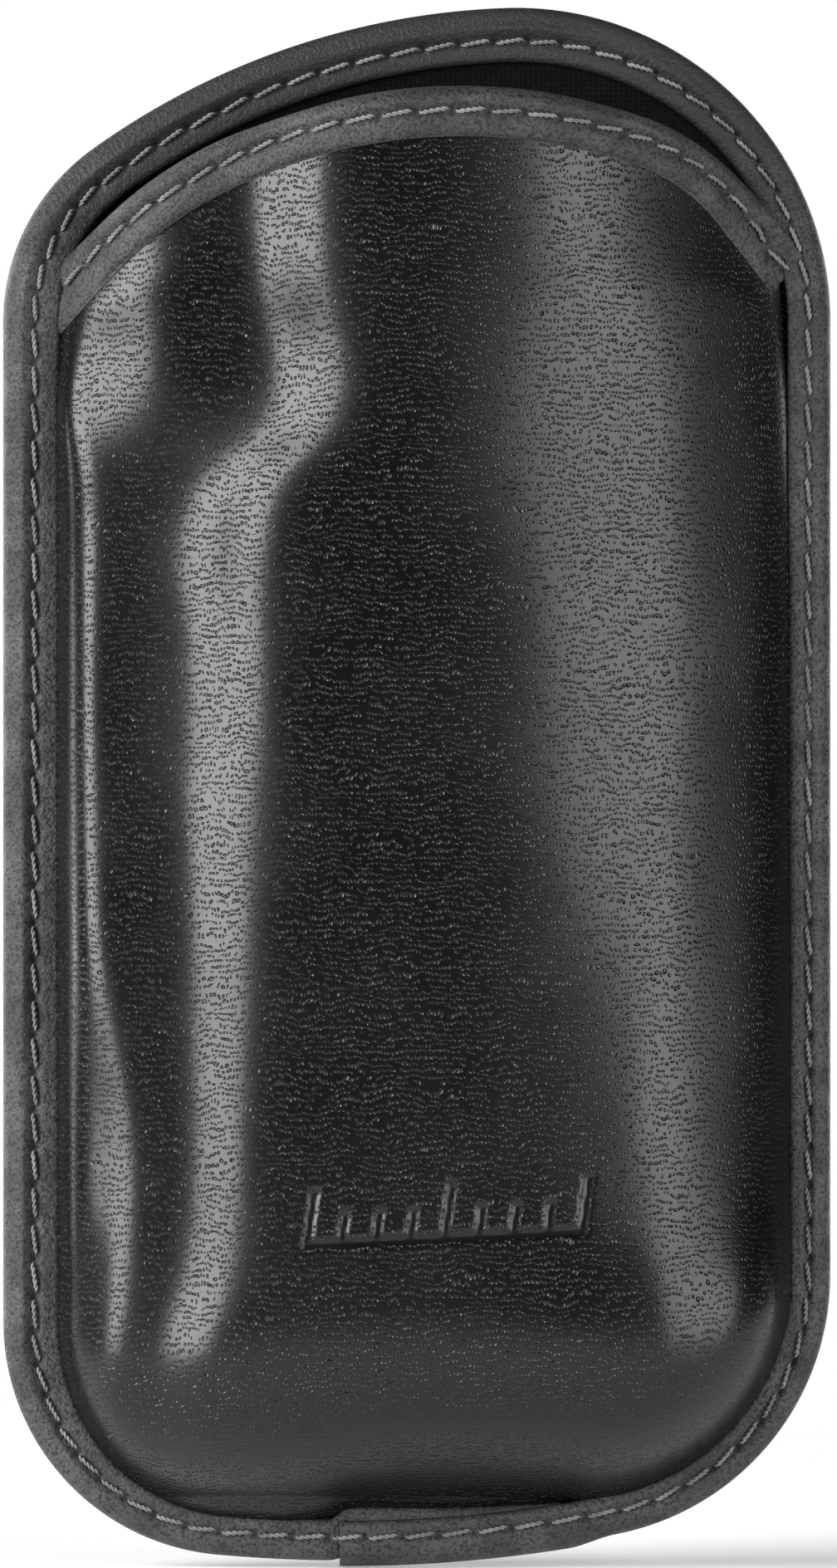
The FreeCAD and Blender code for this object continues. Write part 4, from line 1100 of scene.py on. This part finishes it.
def loop_stitches(way):
    """A box of stitches at one end of the belt loop."""
    behind = LOOP_GAP + LOOP_BACKING + LOOP_GAP + LOOP_LEATHER - BACK_FACE
    t = np.linspace(-1, 1, STITCH_POINTS)
    rise = arch(0.35, 0.12)
    stitches = []

    def lay(centre, reach):
        path = np.stack([centre[0] + t * reach[0], -behind - rise, centre[1] + t * reach[1]], -1)
        stitches.append((path, np.tile((0.0, -1.0, 0.0), (STITCH_POINTS, 1))))

    for z in (LOOP_END - 2.6, LOOP_END - 9.2):
        for number in range(9):
            lay(((number - 4) * 3.6, way * z), (1.5, 0.12))
    for x in (-16.4, 16.4):
        for z in (LOOP_END - 4.3, LOOP_END - 7.6):
            lay((x, way * z), (0.12, 1.45))
    return stitches


# -------- build
make_front()
make_back()
make_edge_binding()
mouth = make_mouth_binding()
stitch_row("edge_front_stitches", "edge_front_thread", edge_stitches(True))
stitch_row("edge_back_stitches", "edge_back_thread", edge_stitches(False))
stitch_row("mouth_front_stitches", "mouth_front_thread", mouth_stitches(*mouth, True))
stitch_row("mouth_inner_stitches", "mouth_inner_thread", mouth_stitches(*mouth, False))
loop_sheet(
    "belt_loop_leather", "belt_loop_strap",
    LOOP_GAP + LOOP_BACKING + LOOP_GAP, LOOP_LEATHER, LOOP_HALF, PANEL,
)
loop_sheet(
    "belt_loop_backing", "belt_loop_lining",
    LOOP_GAP, LOOP_BACKING, LOOP_HALF - 0.5, TAPE_LEATHER,
)
stitch_row("belt_loop_upper_stitches", "belt_loop_upper_thread", loop_stitches(1))
stitch_row("belt_loop_lower_stitches", "belt_loop_lower_thread", loop_stitches(-1))

back_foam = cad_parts["back_foam"]
back_foam.data.materials.clear()
back_foam.data.materials.append(FOAM)


# -------- floor, light and camera
def make_floor():
    """A pale floor that fades out into the white round it."""
    size, rings, around = 1.6, 8, 64
    level = cad_box[0][2] - FLOOR_DROP
    verts = [(0.0, 0.0, level)]
    for ring in range(1, rings + 1):
        circle = arc_points((0.0, 0.0), size * ring / rings, 0.0, 2 * PI, around + 1)[:-1]
        verts += [(x, y, level) for x, y in circle]
    faces = [(0, 1 + k, 1 + (k + 1) % around) for k in range(around)]
    for ring in range(rings - 1):
        for k in range(around):
            a, b = 1 + ring * around + k, 1 + ring * around + (k + 1) % around
            faces.append((a, a + around, b + around, b))
    mesh = bpy.data.meshes.new("floor")
    mesh.from_pydata(verts, [], faces)
    floor = bpy.data.objects.new("floor", mesh)
    bpy.context.scene.collection.objects.link(floor)
    n = Nodes("floor")
    spread = n.add("ShaderNodeVectorMath", Vector=n.place)
    spread.operation = "LENGTH"
    fade = n.ramp(spread.outputs["Value"], 0.12, 0.55, 1.0, 0.0)
    glow = dict(Emission_Color=grey(1.0), Emission_Strength=0.15)
    mesh.materials.append(n.done(Base_Color=grey(0.95), Roughness=0.9, Alpha=fade, **glow))


def softbox(name, at, size, power):
    """A soft rectangular light that faces the pouch."""
    light = bpy.data.lights.new(name, "AREA")
    light.shape = "RECTANGLE"
    light.size, light.size_y = size
    light.energy = power
    lamp = bpy.data.objects.new(name, light)
    lamp.location = at
    lamp.visible_camera = False
    towards = np.array([0.0, 0.0, -0.03]) - np.array(at)
    flat = math.hypot(towards[0], towards[1])
    lamp.rotation_euler = (PI / 2 + math.atan2(towards[2], flat), 0.0, math.atan2(-towards[0], towards[1]))
    bpy.context.scene.collection.objects.link(lamp)


def around(azimuth, height, distance):
    """A place round the pouch: azimuth 0 is in front of it, 90 to its right."""
    a = math.radians(azimuth)
    return (distance * math.sin(a), -distance * math.cos(a), height)


def make_lights():
    """Two softboxes in front and two behind, and a faint glow; the camera sees plain white."""
    softbox("left_softbox", around(-62, 0.42, 1.3), (0.8, 1.3), 34.0)
    softbox("right_softbox", around(46, 0.15, 1.5), (0.95, 1.4), 20.0)
    softbox("back_left_softbox", around(222, 0.35, 1.6), (0.9, 1.2), 16.0)
    softbox("back_right_softbox", around(156, 0.25, 1.6), (0.9, 1.2), 12.0)
    world = bpy.data.worlds.new("studio")
    world.use_nodes = True
    tree = world.node_tree
    tree.nodes.clear()
    seen, glow = (tree.nodes.new("ShaderNodeBackground") for _ in range(2))
    for background, strength in ((seen, 1.0), (glow, 0.03)):
        background.inputs["Color"].default_value = grey(1.0)
        background.inputs["Strength"].default_value = strength
    ray = tree.nodes.new("ShaderNodeLightPath")
    mix = tree.nodes.new("ShaderNodeMixShader")
    output = tree.nodes.new("ShaderNodeOutputWorld")
    tree.links.new(ray.outputs["Is Camera Ray"], mix.inputs[0])
    tree.links.new(glow.outputs[0], mix.inputs[1])
    tree.links.new(seen.outputs[0], mix.inputs[2])
    tree.links.new(mix.outputs[0], output.inputs["Surface"])
    bpy.context.scene.world = world


def make_camera():
    """A long lens, square on to the front, as the object was pictured."""
    distance, seen_height = 2.0, 0.1888
    seam = -0.0045
    middle = 0.0937 - SOLE * MM
    camera = bpy.data.cameras.new("camera")
    camera.sensor_fit = "VERTICAL"
    camera.sensor_height = 36.0
    camera.lens = camera.sensor_height * distance / seen_height
    camera.clip_end = 30.0
    holder = bpy.data.objects.new("camera", camera)
    holder.location = (0.0002, seam - distance, middle)
    holder.rotation_euler = (PI / 2, 0.0, 0.0)
    bpy.context.scene.collection.objects.link(holder)
    bpy.context.scene.camera = holder


make_floor()
make_lights()
make_camera()
bpy.context.scene.view_settings.view_transform = "Standard"
